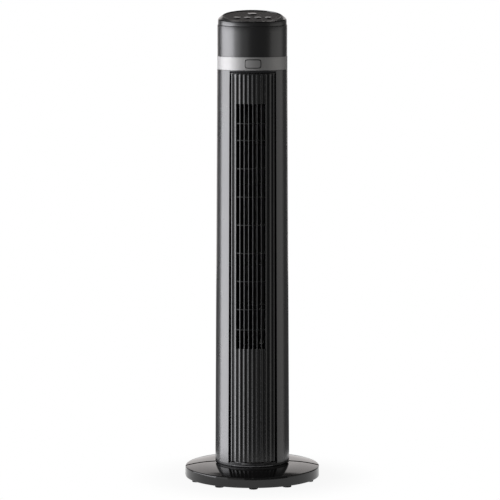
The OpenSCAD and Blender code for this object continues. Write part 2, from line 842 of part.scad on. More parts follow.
// The loom runs up the middle of the space between the air guide and the hoops
loom_r = 2.5;
loom_a = 129.6;
loom_near = guide_r(loom_a);
loom_side = fan_x * cos(loom_a) + fan_y * sin(loom_a);
loom_wall = col_r_top - col_wall - hoop_d;
loom_far = sqrt(loom_side * loom_side + loom_wall * loom_wall - fan_x * fan_x - fan_y * fan_y) - loom_side;
loom_x = fan_x + (loom_near + loom_far) / 2 * cos(loom_a);
loom_y = fan_y + (loom_near + loom_far) / 2 * sin(loom_a);

module plate(z)
    difference() {
        translate([0, 0, z]) cylinder(r = col_r(z + plate_t) - panel_back - panel_gap, h = plate_t);
        at_fan() translate([0, 0, z - 1]) cylinder(r = shaft_r + 2, h = plate_t + 2);
        translate([loom_x, loom_y, z - 1]) cylinder(r = loom_r + 0.3, h = plate_t + 2);
    }

module lower_plate()
    color([0.25, 0.25, 0.27])
        difference() {
            plate(lower_plate_z);
            at_fan() for (a = [0, 120, 240])
                polar(ear_r, a) translate([0, 0, lower_plate_z - 1])
                    cylinder(r = screw_r + 0.02, h = plate_t + 2);
        }

socket_h = 12;
bush_r = shaft_r + 3;
rubber_r = bush_r + 5;

module upper_plate()
    color([0.25, 0.25, 0.27]) {
        plate(upper_plate_z);
        at_fan() ring(rubber_r + 2.5, rubber_r, upper_plate_z + plate_t - eps, socket_h + eps);
    }

module top_rubber()
    color([0.07, 0.07, 0.07]) at_fan() ring(rubber_r, bush_r, upper_plate_z + plate_t, socket_h - 0.5);

module top_bush()
    color([0.72, 0.55, 0.3]) at_fan()
        ring(bush_r, shaft_r + shaft_gap, upper_plate_z + plate_t, socket_h - 0.5);

module top_shaft()
    color([0.8, 0.8, 0.82])
        at_fan()
            translate([0, 0, fan_z1 - 20])
                cylinder(r = shaft_r, h = upper_plate_z + plate_t + socket_h + 2 - fan_z1 + 20);

// A blade is a bent strip between the inner and outer circle of the impeller
module blade(h)
    linear_extrude(h)
        polygon([
            [fan_r - blade_d, 0], [fan_r - blade_d / 2, 1.8], [fan_r - 0.4, 1.2],
            [fan_r - 0.4, 1.2 + blade_t], [fan_r - blade_d / 2, 1.8 + blade_t], [fan_r - blade_d, blade_t]
        ]);

disc_t = 3;
hub_r = 10;
hub_h = 20;

module impeller()
    color([0.3, 0.3, 0.32])
        at_fan() {
            for (i = [0 : blade_count - 1])
                rotate([0, 0, i * 360 / blade_count])
                    translate([0, 0, fan_z0 + disc_t / 2]) blade(fan_z1 - fan_z0 - disc_t);
            for (k = [1 : fan_rings])
                ring(fan_r - 0.4, fan_r - blade_d, lerp(fan_z0, fan_z1, k / (fan_rings + 1)) - 1, 2);
            difference() {
                union() {
                    translate([0, 0, fan_z0]) cylinder(r = fan_r, h = disc_t);
                    translate([0, 0, fan_z0]) cylinder(r = hub_r, h = hub_h);
                    translate([0, 0, fan_z1 - disc_t]) cylinder(r = fan_r, h = disc_t);
                    translate([0, 0, fan_z1 - hub_h]) cylinder(r = hub_r, h = hub_h);
                }
                translate([0, 0, fan_z0 - 1]) cylinder(r = shaft_r + 0.02, h = hub_h + 2);
                translate([0, 0, fan_z1 - hub_h - 1]) cylinder(r = shaft_r + 0.02, h = hub_h + 2);
            }
        }

// ---- Motor ----

rotor_r = 21;
stack_h = 30;
stack_z = can_z0 + (can_h - stack_h) / 2;

module motor_shaft()
    color([0.8, 0.8, 0.82])
        at_fan() translate([0, 0, can_z0 - 4]) cylinder(r = shaft_r, h = fan_z0 + hub_h - 2 - can_z0 + 4);

module rotor() color([0.6, 0.6, 0.62]) at_fan() ring(rotor_r, shaft_r, stack_z, stack_h);

module stator() color([0.5, 0.5, 0.53]) at_fan() ring(can_r - can_wall, rotor_r + 0.5, stack_z, stack_h);

module windings()
    color([0.7, 0.4, 0.2])
        at_fan()
            for (z = [stack_z - 7, stack_z + stack_h]) ring(can_r - can_wall - 4, rotor_r + 3, z, 7);

module motor_can()
    color([0.72, 0.72, 0.74])
        at_fan()
            difference() {
                translate([0, 0, can_z0]) cylinder(r = can_r, h = can_h);
                translate([0, 0, can_z0 + can_wall])
                    cylinder(r = can_r - can_wall, h = can_h - 2 * can_wall);
                translate([0, 0, can_z0 - 1]) cylinder(r = bush_r, h = can_h + 2);
            }

module motor_bushes()
    color([0.72, 0.55, 0.3])
        at_fan() {
            ring(bush_r, shaft_r + shaft_gap, can_z0, 9);
            ring(bush_r, shaft_r + shaft_gap, motor_top - 9, 9);
        }

module motor_bracket()
    color([0.7, 0.7, 0.72])
        at_fan()
            difference() {
                union() {
                    translate([0, 0, motor_top]) cylinder(r = can_r + 1, h = plate_t);
                    for (a = [0, 120, 240]) polar(ear_r, a)
                        translate([0, 0, motor_top]) cylinder(r = 7.5, h = plate_t);
                    for (a = [0, 120, 240])
                        rotate([0, 0, a]) translate([can_r - 6, -7.5, motor_top])
                            cube([ear_r - can_r + 6, 15, plate_t]);
                }
                translate([0, 0, motor_top - 1]) cylinder(r = bush_r + 2, h = plate_t + 2);
                for (a = [0, 120, 240])
                    polar(ear_r, a) translate([0, 0, motor_top - 1])
                        cylinder(r = screw_r + 0.3, h = plate_t + 2);
            }

module rubber_mounts()
    color([0.07, 0.07, 0.07])
        at_fan() for (a = [0, 120, 240]) polar(ear_r, a)
            ring(6.5, screw_r + 0.3, motor_top + plate_t, mount_h);

module motor_screws()
    color([0.6, 0.6, 0.62])
        at_fan() for (a = [0, 120, 240])
            polar(ear_r, a) translate([0, 0, motor_top]) screw(plate_t + mount_h + plate_t);

module run_capacitor()
    color([0.85, 0.85, 0.82])
        translate([-cap_w / 2 + 1, pad_y - cap_d + 1, cap_z0 - 1]) cube([cap_w - 2, cap_d - 1, cap_h]);

module wiring_loom()
    color([0.1, 0.1, 0.1])
        translate([loom_x, loom_y, lower_plate_z - 20])
            cylinder(r = loom_r, h = head_floor_z + 14 - lower_plate_z);

// ---- Head ----

pillar_r = 3.5;
pillar_h = 9;
power_w = 92;
power_l = 62;
power_hole = [40, 25];

// The four pillars of the power board, or the holes in them
module board_posts(r, z, h)
    for (x = [-1, 1], y = [-1, 1])
        translate([x * power_hole[0], y * power_hole[1], z]) cylinder(r = r, h = h);

module head_mount()
    color([0.2, 0.2, 0.22])
        difference() {
            union() {
                ring(head_mount_r, head_mount_r - 2.4, head_floor_z, band_z1 + head_spigot - head_floor_z);
                translate([0, 0, head_floor_z]) cylinder(r = head_mount_r - 1, h = 3);
                board_posts(pillar_r, head_floor_z, pillar_h);
            }
            for (a = concat(head_lug_rear, head_lug_front))
                polar(head_lug_place, a) translate([0, 0, head_floor_z - 1])
                    cylinder(r = screw_r + hole_gap, h = 6);
            translate([loom_x, loom_y, head_floor_z - 1]) cylinder(r = loom_r + hole_gap, h = 6);
            board_posts(screw_r, head_floor_z + 2, pillar_h);
        }

module head_screws()
    color([0.6, 0.6, 0.62])
        for (a = concat(head_lug_rear, head_lug_front))
            polar(head_lug_place, a) translate([0, 0, head_floor_z + 3])
                rotate([180, 0, 0]) screw(head_lug_h);

module trim_band() color([0.78, 0.78, 0.78]) ring(band_r, band_r - band_wall, col_z1, band_h);

badge_z = col_z1 + band_h / 2;

module badge()
    color([0.72, 0.72, 0.73])
        intersection() {
            ring(band_r + badge_t, band_r, badge_z - badge_h / 2, badge_h);
            translate([0, -band_r + 10, badge_z])
                rotate([90, 0, 0])
                    linear_extrude(20)
                        union() {
                            square([badge_w - 5, badge_h], center = true);
                            square([badge_w, badge_h - 5], center = true);
                            for (x = [-1, 1], y = [-1, 1])
                                translate([x * (badge_w / 2 - 2.5), y * (badge_h / 2 - 2.5)]) circle(r = 2.5);
                        }
        }

module head_shell()
    color([0.16, 0.16, 0.18])
        intersection() {
            ring(head_r, head_in_r, band_z1, head_h + 10);
            below(step_z, step_tilt);
        }

module collar()
    color([0.16, 0.16, 0.18])
        difference() {
            union() {
                difference() {
                    intersection() {
                        translate([0, 0, step_z - 10])
                            cylinder(r1 = collar_r + 0.3, r2 = collar_r - 0.5, h = 30);
                        below(step_z + collar_h, collar_tilt);
                    }
                    below(step_z, step_tilt);
                    translate([0, 0, step_z - 12]) cylinder(r = skirt_r + 0.3, h = 40);
                }
                intersection() {
                    ring(head_in_r - 0.2, skirt_r - 1.5, step_z - 10, 20);
                    below(step_z + eps, step_tilt);
                }
            }
        }

// Frustum from the flat joint below to the sloped rim above
module cap_blank()
    hull() {
        translate([0, 0, joint_z]) rotate([collar_tilt, 0, 0]) cylinder(r = cap_r, h = 0.4);
        translate([0, 0, rim_mid_z]) rotate([rim_tilt, 0, 0])
            translate([0, 0, -0.4]) cylinder(r = rim_r, h = 0.4);
    }

module top_cap()
    color([0.16, 0.16, 0.18])
        difference() {
            union() {
                cap_blank();
                difference() {
                    intersection() {
                        translate([0, 0, step_z - 12]) cylinder(r = skirt_r, h = 40);
                        below(joint_z + 0.3, collar_tilt);
                    }
                    below(step_z + eps, step_tilt);
                }
            }
            on_face() translate([0, 0, -face_t]) cylinder(r = face_r + 0.2, h = 40);
            on_face() translate([0, 0, -60]) cylinder(r = face_r - 3, h = 70);
        }

// ---- Electronics ----

module power_board()
    color([0.1, 0.35, 0.2])
        difference() {
            translate([-power_w / 2, -power_l / 2, head_floor_z + pillar_h])
                cube([power_w, power_l, board_t]);
            board_posts(screw_r, head_floor_z, 2 * pillar_h);
        }

// Transformer, relay and terminal: place, then width, length and height
board_blocks = [[-32, -14, 26, 22, 20], [2, -12, 19, 15, 15], [-20, 18, 24, 6, 9]];
// Two capacitors: place, then radius and height
board_cans = [[10, 14, 6.5, 22], [28, 0, 5, 16]];

module board_parts()
    color([0.2, 0.2, 0.25])
        translate([0, 0, head_floor_z + pillar_h + board_t]) {
            for (b = board_blocks) translate([b[0], b[1], 0]) cube([b[2], b[3], b[4]]);
            for (b = board_cans) translate([b[0], b[1], 0]) cylinder(r = b[2], h = b[3]);
        }

control_r = face_r - 7.5;
post_r_face = 3.4;
post_spots = [[-46, 12], [46, 12], [0, -50], [0, 48]];

module control_board()
    color([0.1, 0.35, 0.2])
        on_face()
            difference() {
                translate([0, 0, -board_drop - board_t]) cylinder(r = control_r, h = board_t);
                for (p = post_spots) translate([p[0], p[1], -board_drop - 3]) cylinder(r = screw_r, h = 5);
            }

button_spots = [[0, power_y], [key_x[0], -key_y], [key_x[1], -key_y], [key_x[2], -key_y], [key_x[3], -key_y]];
stem_end = 8;

module button_switches()
    color([0.15, 0.15, 0.15])
        on_face()
            for (p = button_spots) translate([p[0], p[1], -board_drop]) {
                translate([-3, -3, 0]) cube([6, 6, board_drop - stem_end - key_travel - 1.2]);
                cylinder(r = screw_r, h = board_drop - stem_end - key_travel - 0.1);
            }

module control_panel()
    color([0.09, 0.08, 0.08])
        on_face()
            difference() {
                union() {
                    translate([0, 0, -face_t]) cylinder(r = face_r, h = face_t);
                    for (p = post_spots)
                        translate([p[0], p[1], -board_drop])
                            cylinder(r = post_r_face, h = board_drop - face_t + eps);
                }
                translate([0, power_y, -face_t - 1]) cylinder(r = power_r + key_gap, h = face_t + 2);
                for (x = key_x) translate([x, -key_y, -face_t - 1])
                    cylinder(r = key_r + key_gap, h = face_t + 2);
                for (x = lens_x)
                    translate([x, lens_y, -face_t - 1]) cylinder(r = lens_r + thread_gap, h = face_t + 2);
                for (p = post_spots) translate([p[0], p[1], -board_drop - 1]) cylinder(r = screw_r, h = 8);
            }

module indicator_lenses()
    color([0.6, 0.7, 0.75])
        on_face() for (x = lens_x) translate([x, lens_y, -face_t - 1]) cylinder(r = lens_r, h = face_t + 1);

// A push button: domed top, body through the panel, flange under it and stem
module button(spot, r)
    color([0.1, 0.09, 0.09])
        on_face()
            translate([spot[0], spot[1], 0]) {
                dome_r = (r * r + 1) / 2;
                translate([0, 0, -face_t - eps]) cylinder(r = r, h = face_t + eps + key_proud - 1);
                intersection() {
                    translate([0, 0, key_proud - dome_r]) sphere(r = dome_r);
                    translate([0, 0, key_proud - 1 - eps]) cylinder(r = r, h = 2);
                }
                translate([0, 0, -face_t - 1.2]) cylinder(r = r + 1.2, h = 1.2);
                translate([0, 0, -stem_end]) cylinder(r = 2, h = stem_end - face_t);
            }

module button_power() button(button_spots[0], power_r);
module button_speed() button(button_spots[1], key_r);
module button_mode() button(button_spots[2], key_r);
module button_swing() button(button_spots[3], key_r);
module button_timer() button(button_spots[4], key_r);

base_front();
base_rear();
rubber_feet();
base_screws();
cord_gland();
swivel_spool();
slip_ring_lower();
slip_ring_upper();
swivel_retainer();
retainer_screws();
front_housing();
rear_housing();
fluted_panel();
column_floor();
floor_screws();
case_screws();
swing_bracket();
swing_motor();
swing_shaft();
swing_pinion();
air_guide();
air_cutoff();
lower_plate();
upper_plate();
impeller();
motor_shaft();
rotor();
motor_can();
stator();
windings();
motor_bushes();
motor_bracket();
rubber_mounts();
motor_screws();
top_shaft();
top_bush();
top_rubber();
run_capacitor();
wiring_loom();
head_mount();
head_screws();
trim_band();
badge();
head_shell();
collar();
top_cap();
power_board();
board_parts();
control_board();
button_switches();
control_panel();
indicator_lenses();
button_power();
button_speed();
button_mode();
button_swing();
button_timer();
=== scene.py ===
"""A tower fan: a fluted column that swings on a round domed base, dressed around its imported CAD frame.

Every length in the classes is in millimetres and becomes metres in the mesh. -Y is the front and +Z is up.
"""

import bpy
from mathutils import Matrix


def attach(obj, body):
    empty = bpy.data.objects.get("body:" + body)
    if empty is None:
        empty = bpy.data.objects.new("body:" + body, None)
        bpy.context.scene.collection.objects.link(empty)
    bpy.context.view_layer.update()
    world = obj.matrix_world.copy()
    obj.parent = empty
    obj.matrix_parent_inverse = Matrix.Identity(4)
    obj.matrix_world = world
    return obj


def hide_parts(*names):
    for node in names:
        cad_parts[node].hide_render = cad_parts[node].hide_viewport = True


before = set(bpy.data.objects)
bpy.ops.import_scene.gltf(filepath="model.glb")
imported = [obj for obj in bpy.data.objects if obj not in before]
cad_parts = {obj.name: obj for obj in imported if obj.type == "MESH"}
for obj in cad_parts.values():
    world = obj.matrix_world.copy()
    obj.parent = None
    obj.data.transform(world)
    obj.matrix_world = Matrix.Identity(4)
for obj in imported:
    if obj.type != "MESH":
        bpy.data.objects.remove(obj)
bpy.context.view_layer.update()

import logging
import math
from dataclasses import dataclass
from enum import Enum

import bpy
import numpy as np
from mathutils import Vector

log = logging.getLogger("tower_fan")
MM = 0.001
CREASE = 32.0
BEVEL_ANGLE = 38.0
Colour = tuple[float, float, float]


# ---------------------------------------------------------------- meshes


def flat(values: list[float] | np.ndarray) -> np.ndarray:
    """A list of numbers as a float array."""
    return np.asarray(values, float)


def mix(a: np.ndarray | float, b: np.ndarray | float, share: np.ndarray | float) -> np.ndarray:
    """The value that lies share of the way from a to b: a + (b - a) share."""
    return a + (b - a) * share


def fillet(centre: tuple[float, float], radius: float, start: float, end: float, steps: int = 4) -> list:
    """Points on a circular arc, with angles in degrees.

    Args:
        centre: middle of the arc.
        radius: radius of the arc.
        start: angle of its first point.
        end: angle of its last point.
        steps: number of chords.

    Returns:
        The points (centre + radius (cos, sin)) as pairs.
    """
    turn = np.radians(np.linspace(start, end, steps + 1))
    return [(centre[0] + radius * c, centre[1] + radius * s) for c, s in zip(np.cos(turn), np.sin(turn))]


def full_turn(steps: int) -> np.ndarray:
    """Evenly spaced angles once round, in radians."""
    return np.linspace(0, 2 * np.pi, steps, endpoint=False)


def round_axis(radius: np.ndarray | float, turn: np.ndarray, height: np.ndarray | float) -> np.ndarray:
    """Points at a radius, an angle and a height round the axis: r cos a, r sin a and z."""
    return np.stack(np.broadcast_arrays(radius * np.cos(turn), radius * np.sin(turn), height), -1)


def round_front(radius: np.ndarray, turn: np.ndarray, height: np.ndarray) -> np.ndarray:
    """Points whose angle is counted from the front: r sin a, -r cos a and z."""
    return np.stack(np.broadcast_arrays(radius * np.sin(turn), -radius * np.cos(turn), height), -1)


def across_front(x: np.ndarray, radius: np.ndarray | float, height: np.ndarray) -> np.ndarray:
    """Points at places across the front of a cylinder: x, -sqrt(r^2 - x^2) and z."""
    return np.stack(np.broadcast_arrays(x, -np.sqrt(radius**2 - x**2), height), -1)


def piece(
    name: str, points: np.ndarray, faces: list[np.ndarray | list], crease: float = CREASE
) -> bpy.types.Object:
    """Puts points and faces into a new object at the origin, smooth but for its edges sharper than crease.

    The faces point outwards: the signed volume, a sixth of the sum of a . (b x c) over a fan of each face,
    is positive for such a mesh, and a mesh whose volume is negative is turned round.

    Args:
        name: name of the object.
        points: (n, 3) array in millimetres.
        faces: arrays of faces with the same number of corners each, or lists of single faces.
        crease: angle in degrees past which an edge stays sharp.

    Returns:
        The new object.
    """
    rows = [face for block in faces for face in (block.tolist() if isinstance(block, np.ndarray) else block)]
    volume = 0.0
    for block in faces:
        if isinstance(block, np.ndarray) and len(block):
            for k in range(1, block.shape[1] - 1):
                a, b, c = points[block[:, 0]], points[block[:, k]], points[block[:, k + 1]]
                volume += np.einsum("ij,ij->i", a, np.cross(b, c)).sum()
    if volume < 0:
        rows = [face[::-1] for face in rows]
    mesh = bpy.data.meshes.new(name)
    mesh.from_pydata((points * MM).tolist(), [], rows)
    mesh.polygons.foreach_set("use_smooth", np.ones(len(mesh.polygons), bool))
    mesh.validate()
    mesh.update()
    mesh.set_sharp_from_angle(angle=math.radians(crease))
    obj = bpy.data.objects.new(name, mesh)
    bpy.context.scene.collection.objects.link(obj)
    return obj


class Net:
    """A grid of points with the faces between them, which can be joined with others into one piece."""

    def __init__(self) -> None:
        """Starts empty."""
        self.points: list[np.ndarray] = []
        self.faces: list = []
        self.count = 0

    def _put(self, points: np.ndarray, faces: list) -> None:
        """Adds points, and faces that count from the first of them.

        Args:
            points: array of points, three numbers each.
            faces: arrays or lists of faces that count from zero.
        """
        self.points.append(points.reshape(-1, 3))
        for block in faces:
            if isinstance(block, np.ndarray):
                self.faces.append(block + self.count)
            else:
                self.faces.append([[i + self.count for i in face] for face in block])
        self.count += len(self.points[-1])

    def tube(self, grid: np.ndarray, ring: bool = False) -> "Net":
        """A closed section carried along a path.

        Args:
            grid: (stations, section points, 3); the section closes on itself.
            ring: whether the path closes on itself too; otherwise both ends get a flat face.

        Returns:
            This net.
        """
        rows, cols = grid.shape[:2]
        number = np.arange(rows * cols).reshape(rows, cols)
        nxt = np.roll(number, -1, 1)
        low, low_next = (number, nxt) if ring else (number[:-1], nxt[:-1])
        high = np.roll(number, -1, 0) if ring else number[1:]
        high_next = np.roll(nxt, -1, 0) if ring else nxt[1:]
        faces: list = [np.stack([low, low_next, high_next, high], -1).reshape(-1, 4)]
        if not ring:
            faces.append([number[0, ::-1].tolist(), number[-1].tolist()])
        self._put(grid, faces)
        return self

    def wall(self, outer: np.ndarray, inner: np.ndarray, keep: np.ndarray) -> "Net":
        """A wall between two grids of points, open where keep is false, with a side face on every free edge.

        Args:
            outer: (rows, columns, 3) points of one face of the wall.
            inner: the points behind them.
            keep: (rows - 1, columns - 1) truth of each cell.

        Returns:
            This net.
        """
        rows, cols = outer.shape[:2]
        number = np.arange(rows * cols).reshape(rows, cols)
        a, b, c, d = number[:-1, :-1], number[:-1, 1:], number[1:, 1:], number[1:, :-1]
        behind = rows * cols
        padded = np.pad(keep, 1)
        faces = [np.stack([a, b, c, d], -1)[keep], np.stack([d, c, b, a], -1)[keep] + behind]
        sides = (
            (b, a, padded[:-2, 1:-1]), (d, c, padded[2:, 1:-1]),
            (c, b, padded[1:-1, 2:]), (a, d, padded[1:-1, :-2]),
        )
        for p, q, neighbour in sides:
            free = keep & ~neighbour
            faces.append(np.stack([p[free], q[free], q[free] + behind, p[free] + behind], -1))
        used, numbers = np.unique(np.concatenate(faces), return_inverse=True)
        both = np.concatenate([outer.reshape(-1, 3), inner.reshape(-1, 3)])
        self._put(both[used], [numbers.reshape(-1, 4)])
        return self

    def spin(self, profile: list, steps: int, place: np.ndarray | None = None) -> "Net":
        """A closed profile turned round the Z axis.

        Args:
            profile: (radius, height) pairs, closed on themselves and clear of the axis.
            steps: stations round the axis.
            place: a 4 x 4 matrix in millimetres applied to the result, or None.

        Returns:
            This net.
        """
        line = flat(profile)
        grid = round_axis(line[:, 0], full_turn(steps)[:, None], line[:, 1])
        return self.tube(grid if place is None else moved(grid, place), ring=True)

    def dome(self, profile: list, steps: int, place: np.ndarray) -> "Net":
        """An open profile from pole to pole turned round the Z axis, with both poles closed.

        Args:
            profile: (radius, height) pairs, of which the first and the last lie on the axis.
            steps: stations round the axis.
            place: a 4 x 4 matrix in millimetres applied to the result.

        Returns:
            This net.
        """
        line = flat(profile)
        grid = round_axis(line[1:-1, :1], full_turn(steps)[None, :], line[1:-1, 1:])
        poles = flat([[0, 0, line[0, 1]], [0, 0, line[-1, 1]]])
        points = np.concatenate([grid.reshape(-1, 3), poles])
        number = np.arange(grid.shape[0] * steps).reshape(-1, steps)
        nxt = np.roll(number, -1, 1)
        first, last = len(points) - 2, len(points) - 1
        faces = [
            np.stack([number[:-1], number[1:], nxt[1:], nxt[:-1]], -1).reshape(-1, 4),
            np.stack([np.full(steps, first), number[0], nxt[0]], -1),
            np.stack([np.full(steps, last), nxt[-1], number[-1]], -1),
        ]
        self._put(moved(points, place), faces)
        return self

    def build(self, name: str, crease: float = CREASE) -> bpy.types.Object:
        """The joined nets as one object."""
        return piece(name, np.concatenate(self.points), self.faces, crease)


def moved(points: np.ndarray, place: np.ndarray) -> np.ndarray:
    """Points turned and shifted by a 4 x 4 matrix: each becomes R p + t."""
    return points @ place[:3, :3].T + place[:3, 3]


def shifted(x: float, y: float) -> np.ndarray:
    """The matrix of a level shift.

    Args:
        x: shift across in millimetres.
        y: shift from front to back.

    Returns:
        The 4 x 4 matrix.
    """
    place = np.eye(4)
    place[:2, 3] = x, y
    return place


def facing_back(start: tuple[float, float, float]) -> np.ndarray:
    """The matrix of a frame at a point whose own Z axis points to the back.

    Args:
        start: place of the frame's origin in millimetres.

    Returns:
        The 4 x 4 matrix: X stays, and Z turns to where Y was.
    """
    place = np.eye(4)
    place[:3, :3] = flat([[1, 0, 0], [0, 0, 1], [0, -1, 0]])
    place[:3, 3] = start
    return place


def tilted(height: float, tilt: float, x: float, y: float, back: float) -> np.ndarray:
    """The matrix of a piece on a plane that stands at a height and leans forward.

    Args:
        height: height of the plane on the axis.
        tilt: angle in degrees that the plane leans towards the front.
        x: place across, in the plane.
        y: place from front to back, in the plane.
        back: angle in degrees that the piece leans back from the plane.

    Returns:
        A turn about X by the tilt less the lean, whose place is x and y in the tilted plane, raised.
    """
    plane, own = (
        flat([[1, 0, 0], [0, math.cos(a), -math.sin(a)], [0, math.sin(a), math.cos(a)]])
        for a in (math.radians(tilt), math.radians(tilt - back))
    )
    place = np.eye(4)
    place[:3, :3] = own
    place[:3, 3] = plane @ flat([x, y, 0]) + flat([0, 0, height])
    return place


def soften(obj: bpy.types.Object, width: float) -> bpy.types.Object:
    """Rounds the sharp edges of a piece by width millimetres.

    Args:
        obj: the piece.
        width: width of the rounding.

    Returns:
        The same piece.
    """
    bevel = obj.modifiers.new("edges", "BEVEL")
    bevel.width = width * MM
    bevel.segments = 2
    bevel.limit_method = "ANGLE"
    bevel.angle_limit = math.radians(BEVEL_ANGLE)
    bevel.harden_normals = True
    bevel.use_clamp_overlap = True
    return obj


def carve(obj: bpy.types.Object, cutter: bpy.types.Object) -> bpy.types.Object:
    """Takes the cutter out of a piece, applies the result to the mesh, and removes the cutter.

    Args:
        obj: the piece to cut.
        cutter: the closed piece that is taken out of it.

    Returns:
        The first piece.
    """
    cut = obj.modifiers.new("cut", "BOOLEAN")
    cut.operation = "DIFFERENCE"
    cut.solver = "EXACT"
    cut.object = cutter
    bpy.context.view_layer.update()
    result = bpy.data.meshes.new_from_object(obj.evaluated_get(bpy.context.evaluated_depsgraph_get()))
    obj.modifiers.remove(cut)
    obj.data = result
    result.polygons.foreach_set("use_smooth", np.ones(len(result.polygons), bool))
    result.set_sharp_from_angle(angle=math.radians(CREASE))
    bpy.data.objects.remove(cutter)
    return obj


def cylinder_back(radius: float, length: float, start: tuple[float, float, float]) -> bpy.types.Object:
    """A plain cylinder that runs backwards from a point, to cut with."""
    line = [(0, 0), (radius, 0), (radius, length), (0, length)]
    return Net().dome(line, 48, facing_back(start)).build("cutter")


# ---------------------------------------------------------------- finishes

DRIFT_SCALE = 9.0
GLOSS_DRIFT = 0.1


class Pattern(Enum):
    """The small relief that a finish carries."""

    GRAIN = "fine spark-eroded moulding grain"
    PEEL = "the long, shallow ripple of a polished moulding"
    FLAKE = "metal flake under lacquer"
    DRAWN = "lines drawn along the axis"
    LAYERS = "stacked thin sheets"
    WOUND = "turns of wire"
    TRACKS = "tracks of a circuit board"


class Tree:
    """A node tree while its nodes are laid."""

    def __init__(self, tree: bpy.types.NodeTree) -> None:
        """Keeps the tree."""
        self.tree = tree

    def node(self, kind: str, **inputs: float | tuple) -> bpy.types.Node:
        """A new node with values for its input sockets.

        Args:
            kind: type name of the node.
            inputs: values by socket name, with underscores for spaces.

        Returns:
            The node.
        """
        made = self.tree.nodes.new(kind)
        for key, value in inputs.items():
            made.inputs[key.replace("_", " ")].default_value = value
        return made

    def join(self, start: bpy.types.NodeSocket, end: bpy.types.NodeSocket) -> None:
        """Links two sockets."""
        self.tree.links.new(start, end)

    def combine(
        self, kind: str, a: bpy.types.NodeSocket, b: bpy.types.NodeSocket | float = 0.0
    ) -> bpy.types.NodeSocket:
        """The result of one mathematical operation on two values.

        Args:
            kind: name of the operation.
            a: the first value.
            b: the second value, a number or a socket.

        Returns:
            The socket of the result.
        """
        made = self.tree.nodes.new("ShaderNodeMath")
        made.operation = kind
        self.join(a, made.inputs[0])
        if isinstance(b, float):
            made.inputs[1].default_value = b
        else:
            self.join(b, made.inputs[1])
        return made.outputs["Value"]

    def ramp(
        self, source: bpy.types.NodeSocket, start: float, end: float, low: float, high: float,
        soft: bool = True,
    ) -> bpy.types.NodeSocket:
        """A step from low to high as the source goes from start to end, with soft or straight shoulders.

        Args:
            source: the value that is followed.
            start: where the step begins.
            end: where it is over.
            low: result up to the start.
            high: result from the end on.
            soft: whether its shoulders are soft.

        Returns:
            The socket of the result.
        """
        made = self.tree.nodes.new("ShaderNodeMapRange")
        made.interpolation_type = "SMOOTHSTEP" if soft else "LINEAR"
        for key, value in (("From Min", start), ("From Max", end), ("To Min", low), ("To Max", high)):
            made.inputs[key].default_value = value
        self.join(source, made.inputs["Value"])
        return made.outputs["Result"]

    def rays(self) -> tuple[bpy.types.NodeSocket, bpy.types.NodeSocket]:
        """One for the rays of the camera, and one for those that come by gloss or through glass.

        Returns:
            The two sockets, one or zero for each ray.
        """
        path = self.node("ShaderNodeLightPath")
        bent = self.combine("MAXIMUM", path.outputs["Is Glossy Ray"], path.outputs["Is Transmission Ray"])
        return path.outputs["Is Camera Ray"], bent


class Wiring(Tree):
    """One material while its nodes are laid."""

    def __init__(self, name: str) -> None:
        """Makes the material with its output and its main shader.

        Args:
            name: name of the material.
        """
        self.material = bpy.data.materials.new(name)
        self.material.use_nodes = True
        super().__init__(self.material.node_tree)
        self.tree.nodes.clear()
        self.output = self.node("ShaderNodeOutputMaterial")
        self.shader = self.node("ShaderNodeBsdfPrincipled")
        self.join(self.shader.outputs["BSDF"], self.output.inputs["Surface"])
        self.place = self.node("ShaderNodeTexCoord").outputs["Object"]

    def noise(self, scale: float, detail: float = 3.0, stretch: Colour = (1, 1, 1)) -> bpy.types.NodeSocket:
        """Noise on the object's own coordinates, finer along an axis where stretch is larger.

        Args:
            scale: features to a metre.
            detail: layers of finer noise.
            stretch: factor of the scale along each axis.

        Returns:
            The socket of the result.
        """
        mapping = self.node("ShaderNodeMapping", Scale=stretch)
        self.join(self.place, mapping.inputs["Vector"])
        made = self.node("ShaderNodeTexNoise", Scale=scale, Detail=detail, Roughness=0.55)
        self.join(mapping.outputs["Vector"], made.inputs["Vector"])
        return made.outputs["Fac"]

    def wave(self, scale: float, direction: str, bend: float = 0.0) -> bpy.types.NodeSocket:
        """Parallel ridges along an axis.

        Args:
            scale: ridges to a metre, as the texture counts them.
            direction: axis that the ridges cross.
            bend: how far they wander.

        Returns:
            The socket of the result.
        """
        made = self.node("ShaderNodeTexWave", Scale=scale, Distortion=bend)
        made.bands_direction = direction
        self.join(self.place, made.inputs["Vector"])
        return made.outputs["Fac"]

    def spread(self, source: bpy.types.NodeSocket, low: float, high: float) -> bpy.types.NodeSocket:
        """The middle of a 0 to 1 signal, widened to the range from low to high."""
        return self.ramp(source, 0.3, 0.7, low, high, soft=False)

    def blend(self, factor: bpy.types.NodeSocket, a: Colour, b: Colour) -> bpy.types.NodeSocket:
        """A colour that goes from a to b with the factor.

        Args:
            factor: zero for the first colour and one for the second.
            a: the first colour.
            b: the second colour.

        Returns:
            The socket of the result.
        """
        made = self.tree.nodes.new("ShaderNodeMix")
        made.data_type = "RGBA"
        made.inputs["A"].default_value = (*a, 1)
        made.inputs["B"].default_value = (*b, 1)
        self.join(factor, made.inputs["Factor"])
        return made.outputs["Result"]

    def relief(self, height: bpy.types.NodeSocket, depth: float, strength: float) -> None:
        """Bump on the main shader, with its depth in millimetres.

        Args:
            height: the signal.
            depth: its full depth.
            strength: share of it that counts.
        """
        bump = self.node("ShaderNodeBump", Strength=strength, Distance=depth * MM)
        self.join(height, bump.inputs["Height"])
        self.join(bump.outputs["Normal"], self.shader.inputs["Normal"])


